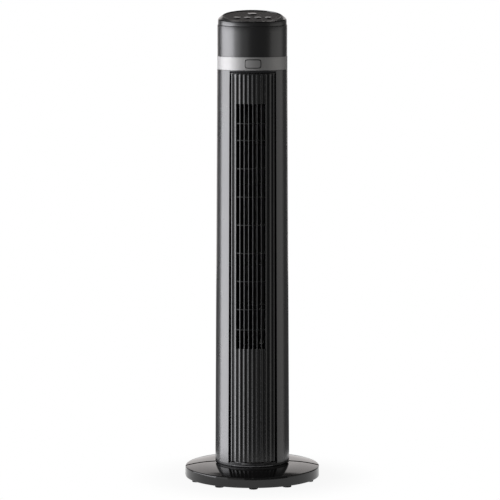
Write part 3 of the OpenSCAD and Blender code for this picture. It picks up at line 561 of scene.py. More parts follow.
@dataclass(frozen=True)
class Finish:
    """A surface: its colour, its gloss and the small relief on it."""

    name: str
    colour: Colour
    rough: float
    slot: str
    pattern: Pattern = Pattern.GRAIN
    depth: float = 0.02
    strength: float = 0.25
    grain: float = 1400.0
    metal: float = 0.0
    specular: float = 0.5
    coat: float = 0.0
    coat_rough: float = 0.1
    tone: float = 0.12
    clear: float = 0.0
    sheen: float = 0.0

    def height(self, wiring: Wiring) -> bpy.types.NodeSocket:
        """The relief signal of the pattern.

        Args:
            wiring: the material that it becomes part of.

        Returns:
            The socket of the result.
        """
        if self.pattern is Pattern.PEEL:
            return wiring.noise(self.grain, 1.0)
        if self.pattern is Pattern.DRAWN:
            return wiring.noise(self.grain, 2.0, (1, 1, 0.02))
        if self.pattern is Pattern.LAYERS:
            return wiring.wave(self.grain, "Z")
        if self.pattern is Pattern.WOUND:
            return wiring.wave(self.grain, "DIAGONAL", 0.6)
        if self.pattern is Pattern.TRACKS:
            return wiring.noise(self.grain, 0.0, (1, 0.25, 1))
        return wiring.noise(self.grain, 3.0)

    def build(self) -> bpy.types.Material:
        """The material: its tone and gloss wander slowly over the piece, and the pattern gives the relief.

        A pattern of separate threads, tracks or sheets carries the tone itself.

        Returns:
            The material.
        """
        wiring = Wiring(self.name)
        shader = wiring.shader
        drift = wiring.noise(DRIFT_SCALE, 4.0)
        dark = tuple(c * (1 - self.tone) for c in self.colour)
        light = tuple(min(1.0, c * (1 + self.tone)) for c in self.colour)
        height = self.height(wiring)
        toned = height if self.pattern in (Pattern.WOUND, Pattern.TRACKS, Pattern.LAYERS) else drift
        wiring.join(wiring.blend(wiring.spread(toned, 0, 1), dark, light), shader.inputs["Base Color"])
        low, high = self.rough * (1 - GLOSS_DRIFT), min(1.0, self.rough * (1 + GLOSS_DRIFT))
        gloss = wiring.spread(drift, low, high)
        wiring.join(gloss, shader.inputs["Roughness"])
        shader.inputs["Metallic"].default_value = self.metal
        shader.inputs["Specular IOR Level"].default_value = self.specular
        shader.inputs["Coat Weight"].default_value = self.coat
        shader.inputs["Coat Roughness"].default_value = self.coat_rough
        shader.inputs["Transmission Weight"].default_value = self.clear
        shader.inputs["Sheen Weight"].default_value = self.sheen
        if self.strength > 0:
            wiring.relief(height, self.depth, self.strength)
        wiring.material.diffuse_color = (*self.colour, 1)
        return wiring.material


BLACK_CASE = Finish(
    "satin_black_case", (0.011, 0.011, 0.0122), 0.28, "case_plastic", Pattern.PEEL,
    depth=0.004, strength=0.15, grain=160.0, specular=0.76, coat=0.3, coat_rough=0.2, tone=0.1,
)
BLACK_GRILLE = Finish(
    "fluted_black", (0.0085, 0.0085, 0.009), 0.24, "grille_plastic", Pattern.PEEL,
    depth=0.003, strength=0.03, grain=120.0, specular=0.62, coat=0.2, coat_rough=0.14, tone=0.1,
)
# Light grey satin: a painted highlight, standing in for the bright arc of reflected light along the column's
# foot.
BEAD_PAINTED_HIGHLIGHT = Finish(
    "bead_painted_highlight", (0.2, 0.2, 0.205), 0.4, "case_plastic", depth=0.004, strength=0.1, grain=1600.0,
)
GLOSS_BASE = Finish(
    "polished_base", (0.0095, 0.009, 0.009), 0.07, "base_plastic", Pattern.PEEL,
    depth=0.004, strength=0.06, grain=90.0, specular=0.45, tone=0.08,
)
CAP_CASE = Finish(
    "polished_cap", (0.012, 0.012, 0.0125), 0.16, "case_plastic", Pattern.PEEL,
    depth=0.004, strength=0.1, grain=120.0, specular=0.85, coat=0.3, coat_rough=0.1, tone=0.08,
)
HEAD_CASE = Finish(
    "satin_head", (0.012, 0.012, 0.013), 0.33, "case_plastic", Pattern.GRAIN,
    depth=0.006, strength=0.12, grain=1200.0, specular=0.9, coat=0.3, coat_rough=0.24, tone=0.08,
)
SILVER_BAND = Finish(
    "satin_silver", (0.47, 0.465, 0.46), 0.5, "silver_trim", Pattern.FLAKE,
    depth=0.006, strength=0.2, grain=4200.0, metal=0.35, specular=0.5, tone=0.05,
)
SILVER_BADGE = Finish(
    "satin_badge", (0.45, 0.445, 0.44), 0.48, "badge_trim", Pattern.FLAKE,
    depth=0.006, strength=0.2, grain=5200.0, metal=0.35, specular=0.5, tone=0.05,
)
PANEL_GLOSS = Finish(
    "panel_brown_black", (0.024, 0.016, 0.0155), 0.1, "panel_gloss", Pattern.PEEL,
    depth=0.004, strength=0.1, grain=90.0, specular=0.6, coat=0.4, coat_rough=0.05, tone=0.1,
)
BUTTON_GLOSS = Finish(
    "button_brown_black", (0.024, 0.0195, 0.0195), 0.11, "button_plastic", Pattern.GRAIN,
    depth=0.004, strength=0.1, grain=1500.0, specular=0.7, coat=0.4, coat_rough=0.08, tone=0.1,
)
# Near-black and rough: painted shade, in the gap between collar and cap and in the sunk line round the badge.
PAINTED_SHADE_BLACK = Finish("painted_shade_black", (0.005, 0.005, 0.005), 0.6, "case_plastic", depth=0.02, strength=0.3)
MATT_INNER = Finish(
    "matt_inner", (0.012, 0.012, 0.013), 0.5, "inner_plastic", depth=0.04, strength=0.4, grain=900.0,
)
FAN_BLACK = Finish("impeller_black", (0.012, 0.012, 0.013), 0.42, "inner_plastic", depth=0.03, strength=0.3)
RUBBER = Finish(
    "black_rubber", (0.012, 0.012, 0.012), 0.75, "rubber",
    depth=0.05, strength=0.5, grain=1800.0, specular=0.3, sheen=0.05,
)
NYLON = Finish("natural_nylon", (0.72, 0.7, 0.62), 0.38, "nylon", depth=0.03, strength=0.2, clear=0.06)
ZINC = Finish(
    "zinc_plated", (0.6, 0.61, 0.63), 0.32, "zinc", Pattern.FLAKE,
    depth=0.01, strength=0.3, grain=3000.0, metal=1.0,
)
SHEET = Finish(
    "galvanised_sheet", (0.5, 0.51, 0.52), 0.4, "steel_sheet", Pattern.FLAKE,
    depth=0.02, strength=0.3, grain=160.0, metal=1.0, tone=0.2,
)
BRONZE = Finish(
    "sintered_bronze", (0.55, 0.36, 0.17), 0.5, "bronze", depth=0.03, strength=0.5, grain=2600.0, metal=1.0,
)
COPPER = Finish(
    "enamelled_copper", (0.5, 0.2, 0.08), 0.3, "copper", Pattern.WOUND,
    depth=0.2, strength=0.8, grain=260.0, metal=0.8, tone=0.5,
)
LAMINATION = Finish(
    "stacked_steel", (0.3, 0.3, 0.31), 0.45, "lamination", Pattern.LAYERS,
    depth=0.1, strength=0.7, grain=320.0, metal=0.9, tone=0.35,
)
BOARD = Finish(
    "solder_mask", (0.02, 0.13, 0.05), 0.3, "pcb", Pattern.TRACKS,
    depth=0.04, strength=0.5, grain=260.0, tone=0.45,
)
PARTS = Finish("moulded_parts", (0.05, 0.05, 0.06), 0.45, "components", depth=0.02, strength=0.3)
CAPACITOR = Finish("capacitor_case", (0.66, 0.65, 0.6), 0.4, "capacitor_case", depth=0.02, strength=0.25)
SLEEVE = Finish("wire_sleeve", (0.015, 0.015, 0.015), 0.42, "wire", Pattern.DRAWN, depth=0.05, strength=0.4)
LENS = Finish(
    "smoked_lens", (0.05, 0.045, 0.045), 0.12, "lens", depth=0.0, strength=0.0, specular=0.6, clear=0.25,
)


class Wardrobe:
    """Builds each finish once, and dresses pieces and CAD nodes with it."""

    def __init__(self) -> None:
        """Starts with no material made."""
        self.made: dict[str, bpy.types.Material] = {}

    def material(self, finish: Finish) -> bpy.types.Material:
        """The material of a finish.

        Args:
            finish: the finish.

        Returns:
            Its one material, made when first asked for.
        """
        if finish.name not in self.made:
            self.made[finish.name] = finish.build()
        return self.made[finish.name]

    def dress(self, obj: bpy.types.Object, finish: Finish, body: str, *nodes: str) -> bpy.types.Object:
        """Gives a piece its finish and its body.

        Args:
            obj: the piece.
            finish: what it is made of.
            body: the CAD body it rides on.
            nodes: the CAD nodes that it stands for.

        Returns:
            The same piece.
        """
        obj.data.materials.clear()
        obj.data.materials.append(self.material(finish))
        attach(obj, body)
        if nodes:
            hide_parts(*nodes)
        log.info("%s rides on %s with %d faces", obj.name, body, len(obj.data.polygons))
        return obj

    def node(self, finish: Finish, *names: str) -> None:
        """Gives CAD nodes a finish.

        Args:
            finish: what they are made of.
            names: the nodes, which keep their meshes and places.
        """
        for name in names:
            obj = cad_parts[name]
            obj.data.materials.clear()
            obj.data.materials.append(self.material(finish))
            obj.data.polygons.foreach_set("material_index", np.zeros(len(obj.data.polygons), np.int32))
            log.info("%s keeps its shape and gets %s", name, finish.name)


# ---------------------------------------------------------------- sub-assemblies


@dataclass(frozen=True)
class Base:
    """The round base: two half shells with a domed top, feet and the cord gland."""

    radius: float = 146.36
    draft: float = 0.4
    foot_h: float = 4.0
    rim_z: float = 25.5
    dome_h: float = 9.0
    dome_power: float = 1.7
    deck_r: float = 84.7
    hub_r: float = 16.0
    wall: float = 3.0
    rim_fillet: float = 1.5
    foot_fillet: float = 0.9
    seam: float = 0.8
    roll_w: float = 13.0
    roll_h: float = 3.5
    half_steps: int = 97
    flare_r: float = 81.2
    flare_h: float = 0.8
    flare_reach: float = 2.5
    flare_run: float = 14.0
    flare_crowd: float = 1.6
    flare_flat: float = 0.4
    flare_w: float = 0.6
    flare_drop: float = 0.3
    foot_r: float = 9.5
    foot_ring: float = 134.0
    foot_count: int = 11
    boss_r: float = 10.5
    embed: float = 0.6
    web: float = 2.2
    web_in: float = 44.0
    web_up: float = 6.0
    gland_z: float = 13.5
    gland_r: float = 5.15
    gland_fit: float = 0.05
    gland_bore: float = 3.6
    gland_in: float = 12.0
    gland_out: float = 14.55
    gland_edge: float = 0.6
    block_w: float = 22.0
    block_h: float = 18.4

    @property
    def rim_r(self) -> float:
        """Radius of the upper rim."""
        return self.radius - self.draft

    @property
    def gland_y(self) -> float:
        """How far behind the axis the gland and its block begin."""
        return self.radius - self.wall - self.gland_in

    def dome_z(self, r: np.ndarray | float) -> np.ndarray | float:
        """Height of the dome: level at the deck, and falling to the rim as a power of the way out."""
        way = (np.clip(r, self.deck_r, self.rim_r) - self.deck_r) / (self.rim_r - self.deck_r)
        return self.rim_z + self.dome_h * (1 - way**self.dome_power)

    def flare_z(self, r: np.ndarray) -> np.ndarray:
        """Height of the top: the dome plus a flare that dies away outwards as h exp(-(r - r0) / reach)."""
        return self.dome_z(r) + self.flare_h * np.exp(-(r - self.flare_r) / self.flare_reach)

    def profile(self) -> tuple[np.ndarray, int]:
        """The section of the shell.

        Returns:
            Side wall with a rounded foot, rounded rim, dome, flare and deck, and back along the underside,
            as (radius, height) rows, and how many of them are outer ones.
        """
        f, g = self.foot_fillet, self.rim_fillet
        deck, low = float(self.dome_z(0.0)), self.rim_z - g
        fine = self.flare_r + self.flare_run * np.linspace(1, 0, 15)[1:] ** self.flare_crowd
        top = np.concatenate([np.linspace(self.rim_r - g, self.flare_r + self.flare_run, 26), fine])
        under = np.linspace(self.deck_r, self.rim_r - self.wall, 14)
        outer = [
            *fillet((self.radius - f, self.foot_h + f), f, -90, 0),
            *((mix(self.radius, self.rim_r, s), mix(self.foot_h + f, low, s)) for s in (0.25, 0.5, 0.75)),
            *fillet((self.rim_r - g, low), g, 0, 72, 6),
            *zip(top, self.flare_z(top)),
        ]
        inner = [
            (self.flare_r - self.flare_flat, deck + self.flare_h),
            (self.flare_r - self.flare_w, deck + self.flare_h - self.flare_drop),
            (self.flare_r - self.flare_w, deck),
            *((r, deck) for r in np.linspace(self.flare_r - 8, self.hub_r, 6)),
            (self.hub_r, deck - self.wall),
            *zip(under, self.dome_z(under) - self.wall),
            (self.radius - self.wall, self.foot_h),
        ]
        return flat([*outer, *inner]), len(outer)

    def half(self, start: float, rolled: bool) -> np.ndarray:
        """The shell of one half, which stops half a seam short of the middle plane.

        A rolled edge sinks towards the seam along a quarter of an ellipse: at s from the edge the outer
        surface lies h (1 - sqrt(1 - (1 - s / w)^2)) deeper.

        Args:
            start: angle of the middle plane in radians.
            rolled: whether the half has the rolled edge.

        Returns:
            (stations, section points, 3) points.
        """
        line, outer = self.profile()
        plain = self.seam / 2 + self.roll_w * float(rolled)
        last = np.arcsin(plain / line[:, 0])[None, :]
        turn = last + (np.pi - 2 * last) * np.linspace(0, 1, self.half_steps)[:, None]
        rows = np.repeat(line[None], self.half_steps, 0)
        if rolled:
            along = np.roll(line, -1, 0) - np.roll(line, 1, 0)
            normal = np.stack([along[:, 1], -along[:, 0]], -1)
            normal /= np.maximum(np.linalg.norm(normal, axis=1, keepdims=True), 1e-9)
            normal[outer:] = 0
            share = 1 - np.cos(np.linspace(0, np.pi / 2, 10)[:-1])
            dip = self.roll_h * (1 - np.sqrt(1 - (1 - share) ** 2))
            section = line[None] - dip[:, None, None] * normal[None]
            edge = np.arcsin((self.seam / 2 + self.roll_w * share)[:, None] / section[..., 0])
            turn = np.concatenate([edge, turn, np.pi - edge[::-1]])
            rows = np.concatenate([section, rows, section[::-1]])
        return round_axis(rows[..., 0], start + turn, rows[..., 1])

    def feet(self) -> np.ndarray:
        """Angles of the feet, evenly spaced with one at the front."""
        number = np.arange(self.foot_count) - (self.foot_count - 1) / 2
        return np.radians(270 + number * 360 / self.foot_count)

    def foot_place(self, angle: float) -> np.ndarray:
        """The matrix of the shift to a foot's middle."""
        return shifted(self.foot_ring * math.cos(angle), self.foot_ring * math.sin(angle))

    def under(self, angles: np.ndarray) -> Net:
        """Bosses over the feet and the webs that run in from them to the hub.

        Args:
            angles: angles of the feet in radians.

        Returns:
            The net of all of them.
        """
        net = Net()
        r, low, side = self.boss_r, self.foot_h, self.web / 2
        top = float(self.dome_z(self.foot_ring + r)) - self.wall + self.embed
        boss = [(0, low), (r - 0.4, low), (r, low + 0.4), (r, top), (0, top)]
        along = np.linspace(self.web_in, self.foot_ring - r + 1, 16)
        high = self.dome_z(along) - self.wall + self.embed
        base = np.full_like(along, low + self.web_up)
        for angle in angles:
            net.dome(boss, 32, self.foot_place(angle))
            c, s = math.cos(angle), math.sin(angle)
            rows = [
                np.stack([along * c - k * s, along * s + k * c, z], -1)
                for k, z in ((-side, base), (side, base), (side, high), (-side, high))
            ]
            net.tube(np.stack(rows, 1))
        return net

    def build(self, wear: Wardrobe) -> None:
        """Makes the two halves with what is under them, the gland's block, the feet and the gland.

        Args:
            wear: gives the pieces their finishes.
        """
        angles = self.feet()
        front = np.sin(angles) < 0
        halves = (
            ("base_shell_front", "base_front", np.pi, angles[front]),
            ("base_shell_rear", "base_rear", 0.0, angles[~front]),
        )
        for name, node, start, feet in halves:
            shell = Net().tube(self.half(start, node == "base_front")).build(name)
            if node == "base_rear":
                start_bore = (0.0, self.gland_y - 4, self.gland_z)
                carve(shell, cylinder_back(self.gland_r + self.gland_fit, 20.0, start_bore))
            wear.dress(shell, GLOSS_BASE, "base", node)
            wear.dress(self.under(feet).build(node + "_webs", crease=25), MATT_INNER, "base")
        wear.dress(self.gland_block(), MATT_INNER, "base")
        wear.dress(self.feet_pads(), RUBBER, "base", "rubber_feet")
        wear.dress(self.gland_bush(), RUBBER, "base", "cord_gland")

    def gland_block(self) -> bpy.types.Object:
        """The block inside the wall that holds the gland.

        Returns:
            The block.
        """
        low, top, side = self.foot_h, self.foot_h + self.block_h, self.block_w / 2
        x, z = flat([-side, -side, side, side]), flat([low, top, top, low])
        ends = self.gland_y, self.radius - self.wall + 0.5
        grid = np.stack([np.stack([x, np.full(4, y), z], -1) for y in ends])
        return soften(Net().tube(grid).build("gland_block"), 0.5)

    def feet_pads(self) -> bpy.types.Object:
        """Rubber pads with a rounded edge and a shallow cup underneath.

        Returns:
            All the pads as one piece.
        """
        net = Net()
        r, h, g = self.foot_r, self.foot_h, 0.8
        line = [
            (0, 0.5), (r - 4, 0.5), (r - 3.2, 0.08), (r - 1.6, 0), *fillet((r - g, g), g, -90, 0),
            (r, h - 0.05), (0, h - 0.05),
        ]
        for angle in self.feet():
            net.dome(line, 40, self.foot_place(angle))
        return net.build("feet_pads")

    def gland_bush(self) -> bpy.types.Object:
        """A rubber bush with rounded lips, whose bore is open for a cord.

        Returns:
            The bush.
        """
        r, bore, out, g = self.gland_r, self.gland_bore, self.gland_out, self.gland_edge
        line = [
            (bore + 0.4, -3), (r + 1.8, -3), *fillet((r + 1.8, g - 3), g, -90, 0), (r + 2.4, -0.2),
            (r + 2.2, 0), (r, 0), (r, out - g), *fillet((r - g, out - g), g, 0, 90),
            *fillet((bore + g, out - g), g, 90, 180), (bore, -2.6),
        ]
        return Net().spin(line, 40, facing_back((0, self.gland_y, self.gland_z))).build("gland_bush")


@dataclass(frozen=True)
class Column:
    """The tapered column: its skin, the window in its front, and where heights lie on it."""

    z0: float = 36.0
    z1: float = 891.0
    foot_r: float = 80.7
    top_r: float = 75.6
    wall: float = 2.6
    window_turn: float = 41.0
    window_z0: float = 45.3
    window_z1: float = 889.3
    flute_z1: float = 884.9
    lip_up: float = 0.3
    skirt_z: float = 41.2
    skirt_in: float = 2.4
    skirt_t: float = 2.4
    sill_z: float = 38.9
    sill_h: float = 6.2
    sill_d: float = 3.0
    sill_r: float = 50.0
    sill_x: float = 40.0
    bead_z: float = 37.3
    bead_r: float = 1.15
    bead_in: float = 1.4
    bead_turn: float = 33.0
    panel_x: float = 51.91

    def r(self, z: np.ndarray | float) -> np.ndarray | float:
        """Radius of the skin, which falls evenly from foot to top."""
        return mix(self.foot_r, self.top_r, (z - self.z0) / (self.z1 - self.z0))

    def build(self, wear: Wardrobe) -> None:
        """The front shell with its sill and skirt; the rest keeps its shape.

        Args:
            wear: gives the pieces their finishes.
        """
        wear.dress(self.front(), BLACK_CASE, "column", "front_housing")
        wear.dress(self.sill(), BLACK_CASE, "column")
        # The bead's light grey finish is a painted highlight along the column's foot.
        wear.dress(self.bead(), BEAD_PAINTED_HIGHLIGHT, "column")
        wear.dress(self.skirt(), MATT_INNER, "column")
        wear.node(BLACK_CASE, "rear_housing")
        wear.node(MATT_INNER, "column_floor", "lower_plate", "upper_plate", "air_guide", "air_cutoff")
        wear.node(MATT_INNER, "head_mount")
        wear.node(ZINC, "floor_screws", "case_screws", "head_screws", "motor_screws")
        wear.node(ZINC, "base_screws", "retainer_screws")

    def front(self) -> bpy.types.Object:
        """The front shell: half a cone of even wall with a window between two angles.

        Returns:
            The shell, whose window has an upper lip that slopes inwards.
        """
        heights = flat([self.skirt_z, self.window_z0, *np.linspace(90, 850, 14), self.window_z1, self.z1])
        inner_heights = heights.copy()
        inner_heights[-2] = self.flute_z1 + self.lip_up
        edge, quarter = math.radians(self.window_turn), np.pi / 2
        side, window = np.linspace(0, 1, 21), edge * np.linspace(-1, 1, 33)[1:-1]
        turn = np.concatenate([mix(-quarter, -edge, side), window, mix(edge, quarter, side)])[None, :]
        outer, inner = (
            round_front(self.r(z)[:, None] - depth, turn, z[:, None])
            for z, depth in ((heights, 0.0), (inner_heights, self.wall))
        )
        keep = np.ones((len(heights) - 1, turn.size - 1), bool)
        keep[:-1, len(side) - 1 : -len(side) + 1] = False
        return soften(Net().wall(outer, inner, keep).build("column_front"), 0.35)

    def arc(self, section: list | np.ndarray, reach: float, name: str) -> bpy.types.Object:
        """Carries a closed section of (depth, height) points round the front of the column.

        Args:
            section: the closed section, depths counted from the skin.
            reach: angle in degrees to each side of the front.
            name: name of the piece.

        Returns:
            The piece.
        """
        line = flat(section)
        turn = np.linspace(-1, 1, 41)[:, None] * np.radians(reach)
        return Net().tube(round_front(self.r(self.sill_z) - line[:, 0], turn, line[:, 1])).build(name)

    def sill(self) -> bpy.types.Object:
        """The sill under the flutes: an upright face rounder than the column, so its ends draw back.

        Its plan is a circle of radius s whose foremost point lies on the skin: at a place x across, the
        face stands at -(r - s) - sqrt(s^2 - x^2).

        Returns:
            The sill.
        """
        z, h, d, s = self.sill_z, self.sill_h, self.sill_d, self.sill_r
        line = flat([
            (0.6, z), (0.1, z + 0.6), (0.0, z + 1.4), (0.0, z + h - 1.4), (0.4, z + h - 0.4), (1.2, z + h),
            (d, z + h), (d, z),
        ])
        x = np.linspace(-self.sill_x, self.sill_x, 49)[:, None]
        y = -(self.r(z) - s) - np.sqrt(s**2 - x**2) + line[None, :, 0]
        return Net().tube(np.stack(np.broadcast_arrays(x, y, line[None, :, 1]), -1)).build("window_sill")

    def bead(self) -> bpy.types.Object:
        """The round bead along the column's lower edge, under the sill; its light grey finish is a painted
        highlight.

        Returns:
            The bead.
        """
        turn = full_turn(16)
        section = [self.bead_in + self.bead_r * np.cos(turn), self.bead_z - self.bead_r * np.sin(turn)]
        return self.arc(np.stack(section, -1), self.bead_turn, "lower_bead")

    def skirt(self) -> bpy.types.Object:
        """The set-back skirt under the shell.

        Returns:
            The skirt.
        """
        front, back = self.skirt_in, self.skirt_in + self.skirt_t
        low, high = self.z0 + 0.1, self.skirt_z + 3
        return self.arc([(front, low), (front, high), (back, high), (back, low)], 89.8, "column_skirt")


@dataclass(frozen=True)
class FlutedPanel:
    """The fluted front: ribs with hollow channels that run out under the lip, and the slatted outlet."""

    column: Column
    pitch: float = 9.06
    rib_w: float = 2.6
    side: int = 5
    spread_low: float = 1.03
    rib_edge: float = 0.35
    crown: float = 14.0
    depth: float = 2.9
    scoop: float = 30.0
    draft: float = 0.1
    inset: float = 1.2
    back: float = 6.0
    runout: float = 10.0
    land: float = 0.5
    gap: float = 0.3
    foot_gap: float = 1.0
    outlet_z0: float = 293.0
    outlet_z1: float = 819.6
    left: int = -4
    right: int = 3
    slat_w: float = 2.5
    slat_crown: float = 48.0
    slat_back: float = 13.2
    bar_h: float = 2.1
    bar_d: float = 10.4
    bar_end: float = 41.6
    bar_gap_low: float = 43.9
    bar_gap_high: float = 35.9
    bars: int = 9

    def spread(self, z: np.ndarray) -> np.ndarray:
        """How much wider the ribs stand at a height than at the top."""
        share = (z - self.column.window_z0) / (self.column.flute_z1 - self.column.window_z0)
        return mix(self.spread_low, 1.0, share)

    def crest(self, half: float, crown: float) -> np.ndarray:
        """Half of a rib's crest, from its middle.

        Args:
            half: half the width of the rib.
            crown: slope in degrees where the crest meets the corner.

        Returns:
            (place, depth) rows along a shallow arc, r sin a and r (1 - cos a), and then a small round corner.
        """
        bend = np.radians(np.linspace(0, crown, 7))
        large = (half - self.rib_edge) / math.sin(bend[-1])
        arc = np.stack([large * np.sin(bend), large * (1 - np.cos(bend))], -1)
        turn = np.radians(np.linspace(crown, 86, 5))[1:]
        middle = arc[-1] + self.rib_edge * flat([-math.sin(bend[-1]), math.cos(bend[-1])])
        return np.concatenate([arc, middle + self.rib_edge * np.stack([np.sin(turn), -np.cos(turn)], -1)])

    def section(self) -> np.ndarray:
        """One rib with half a channel at each side.

        Returns:
            (place, depth) rows: the crest, a wall with a little draft, and a channel floor that is an arc of
            a circle, as steep at the walls as the scoop angle.
        """
        half = self.pitch / 2 - self.rib_w / 2 - self.draft
        sweep = np.radians(np.linspace(-self.scoop, 0, 12))
        hollow = half / math.sin(math.radians(self.scoop))
        across, deep = hollow * np.sin(sweep), hollow * (1 - np.cos(sweep))
        floor = np.stack([self.pitch / 2 + across, self.depth - deep], -1)
        side = np.concatenate([self.crest(self.rib_w / 2, self.crown), floor])
        return np.concatenate([side[:0:-1] * [-1, 1], side])

    def surface(self) -> tuple[np.ndarray, np.ndarray, np.ndarray]:
        """Places across, depths at each height, and heights of the panel's front.

        Near the lip the channels rise to the crests: their depth falls as sqrt(1 - up^2), an ellipse.

        Returns:
            A row of places, a grid of depths and a column of heights.
        """
        one = self.section()
        ribs = np.arange(-self.side, self.side + 1)
        x = (ribs[:, None] * self.pitch + one[None, :-1, 0]).ravel()
        deep = np.tile(one[:-1, 1], len(ribs))
        edge = self.column.panel_x
        x = np.concatenate([[-edge], x, [(self.side + 0.5) * self.pitch, edge]])[None, :]
        deep = np.concatenate([[self.depth], deep, [self.depth, self.depth]])[None, :]
        low, top = self.column.window_z0 + self.foot_gap, self.column.flute_z1 - self.gap
        run = top - self.runout + (self.runout - self.land) * np.sin(np.linspace(0, np.pi / 2, 15))
        z = np.concatenate([
            np.linspace(low, self.outlet_z0, 6), np.linspace(self.outlet_z0, self.outlet_z1, 10)[1:],
            np.linspace(self.outlet_z1, run[0], 3)[1:], run[1:], [top],
        ])[:, None]
        up = np.clip((z - (top - self.runout)) / (self.runout - self.land), 0, 1)
        return x, self.inset + deep * np.sqrt(1 - up**2), z

    def point(self, x: np.ndarray, z: np.ndarray, inset: np.ndarray | float) -> np.ndarray:
        """Points at places and heights, at a depth below the skin and spread with the ribs."""
        r = self.column.r(z)
        return round_front(r - inset, np.arcsin(x * self.spread(z) / r), z)

    def build(self, wear: Wardrobe) -> None:
        """The panel with its outlet, the slats that carry its ribs on, and the crossbars behind them.

        Args:
            wear: gives the pieces their finishes.
        """
        x, inset, z = self.surface()
        middle_x, middle_z = (x[:, 1:] + x[:, :-1]) / 2, (z[1:] + z[:-1]) / 2
        hole = (middle_x > self.left * self.pitch) & (middle_x < self.right * self.pitch)
        hole = hole & (middle_z > self.outlet_z0) & (middle_z < self.outlet_z1)
        panel = Net().wall(self.point(x, z, inset), self.point(x, z, self.back), ~hole)
        wear.dress(panel.build("fluted_front", crease=48), BLACK_GRILLE, "column", "fluted_panel")
        wear.dress(self.slats(), BLACK_GRILLE, "column")
        wear.dress(self.crossbars(), BLACK_GRILLE, "column")

    def slats(self) -> bpy.types.Object:
        """Upright slats: a rib's crest on a blade that narrows to the back, carried up the outlet.

        Returns:
            All the slats as one piece.
        """
        crest = self.crest(self.slat_w / 2, self.slat_crown) + [0, self.inset]
        back = flat([(0.8, self.slat_back - 0.4), (0.4, self.slat_back)])
        side = np.concatenate([crest, back])
        line = np.concatenate([side[:0:-1] * [-1, 1], side])
        z = np.linspace(self.outlet_z0 - 1, self.outlet_z1 + 1, 8)[:, None]
        net = Net()
        for i in range(self.left, self.right + 1):
            x = (i * self.pitch + line[None, :, 0]) * self.spread(z)
            r = self.column.r(z) - line[None, :, 1]
            net.tube(across_front(x, r, z))
        return net.build("outlet_slats", crease=40)

    def crossbars(self) -> bpy.types.Object:
        """Level bars that follow the skin behind the slats, the end ones at a set distance from the edges.

        Returns:
            All the bars as one piece.
        """
        low, high = self.outlet_z0 + self.bar_end, self.outlet_z1 - self.bar_end
        inner = np.linspace(low + self.bar_gap_low, high - self.bar_gap_high, self.bars - 2)
        d0, d1, h = self.slat_back - self.bar_d, self.slat_back - 0.5, self.bar_h / 2
        section = flat([(d0 + 0.3, -h), (d1, -h), (d1, h), (d0 + 0.3, h), (d0, h - 0.25), (d0, -h + 0.25)])
        net = Net()
        for level in (low, *inner, high):
            z = level + section[None, :, 1]
            x = np.linspace(self.left * self.pitch, self.right * self.pitch, 25)[:, None] * self.spread(z)
            r = self.column.r(z) - section[None, :, 0]
            net.tube(across_front(x, r, z))
        return net.build("outlet_crossbars", crease=30)


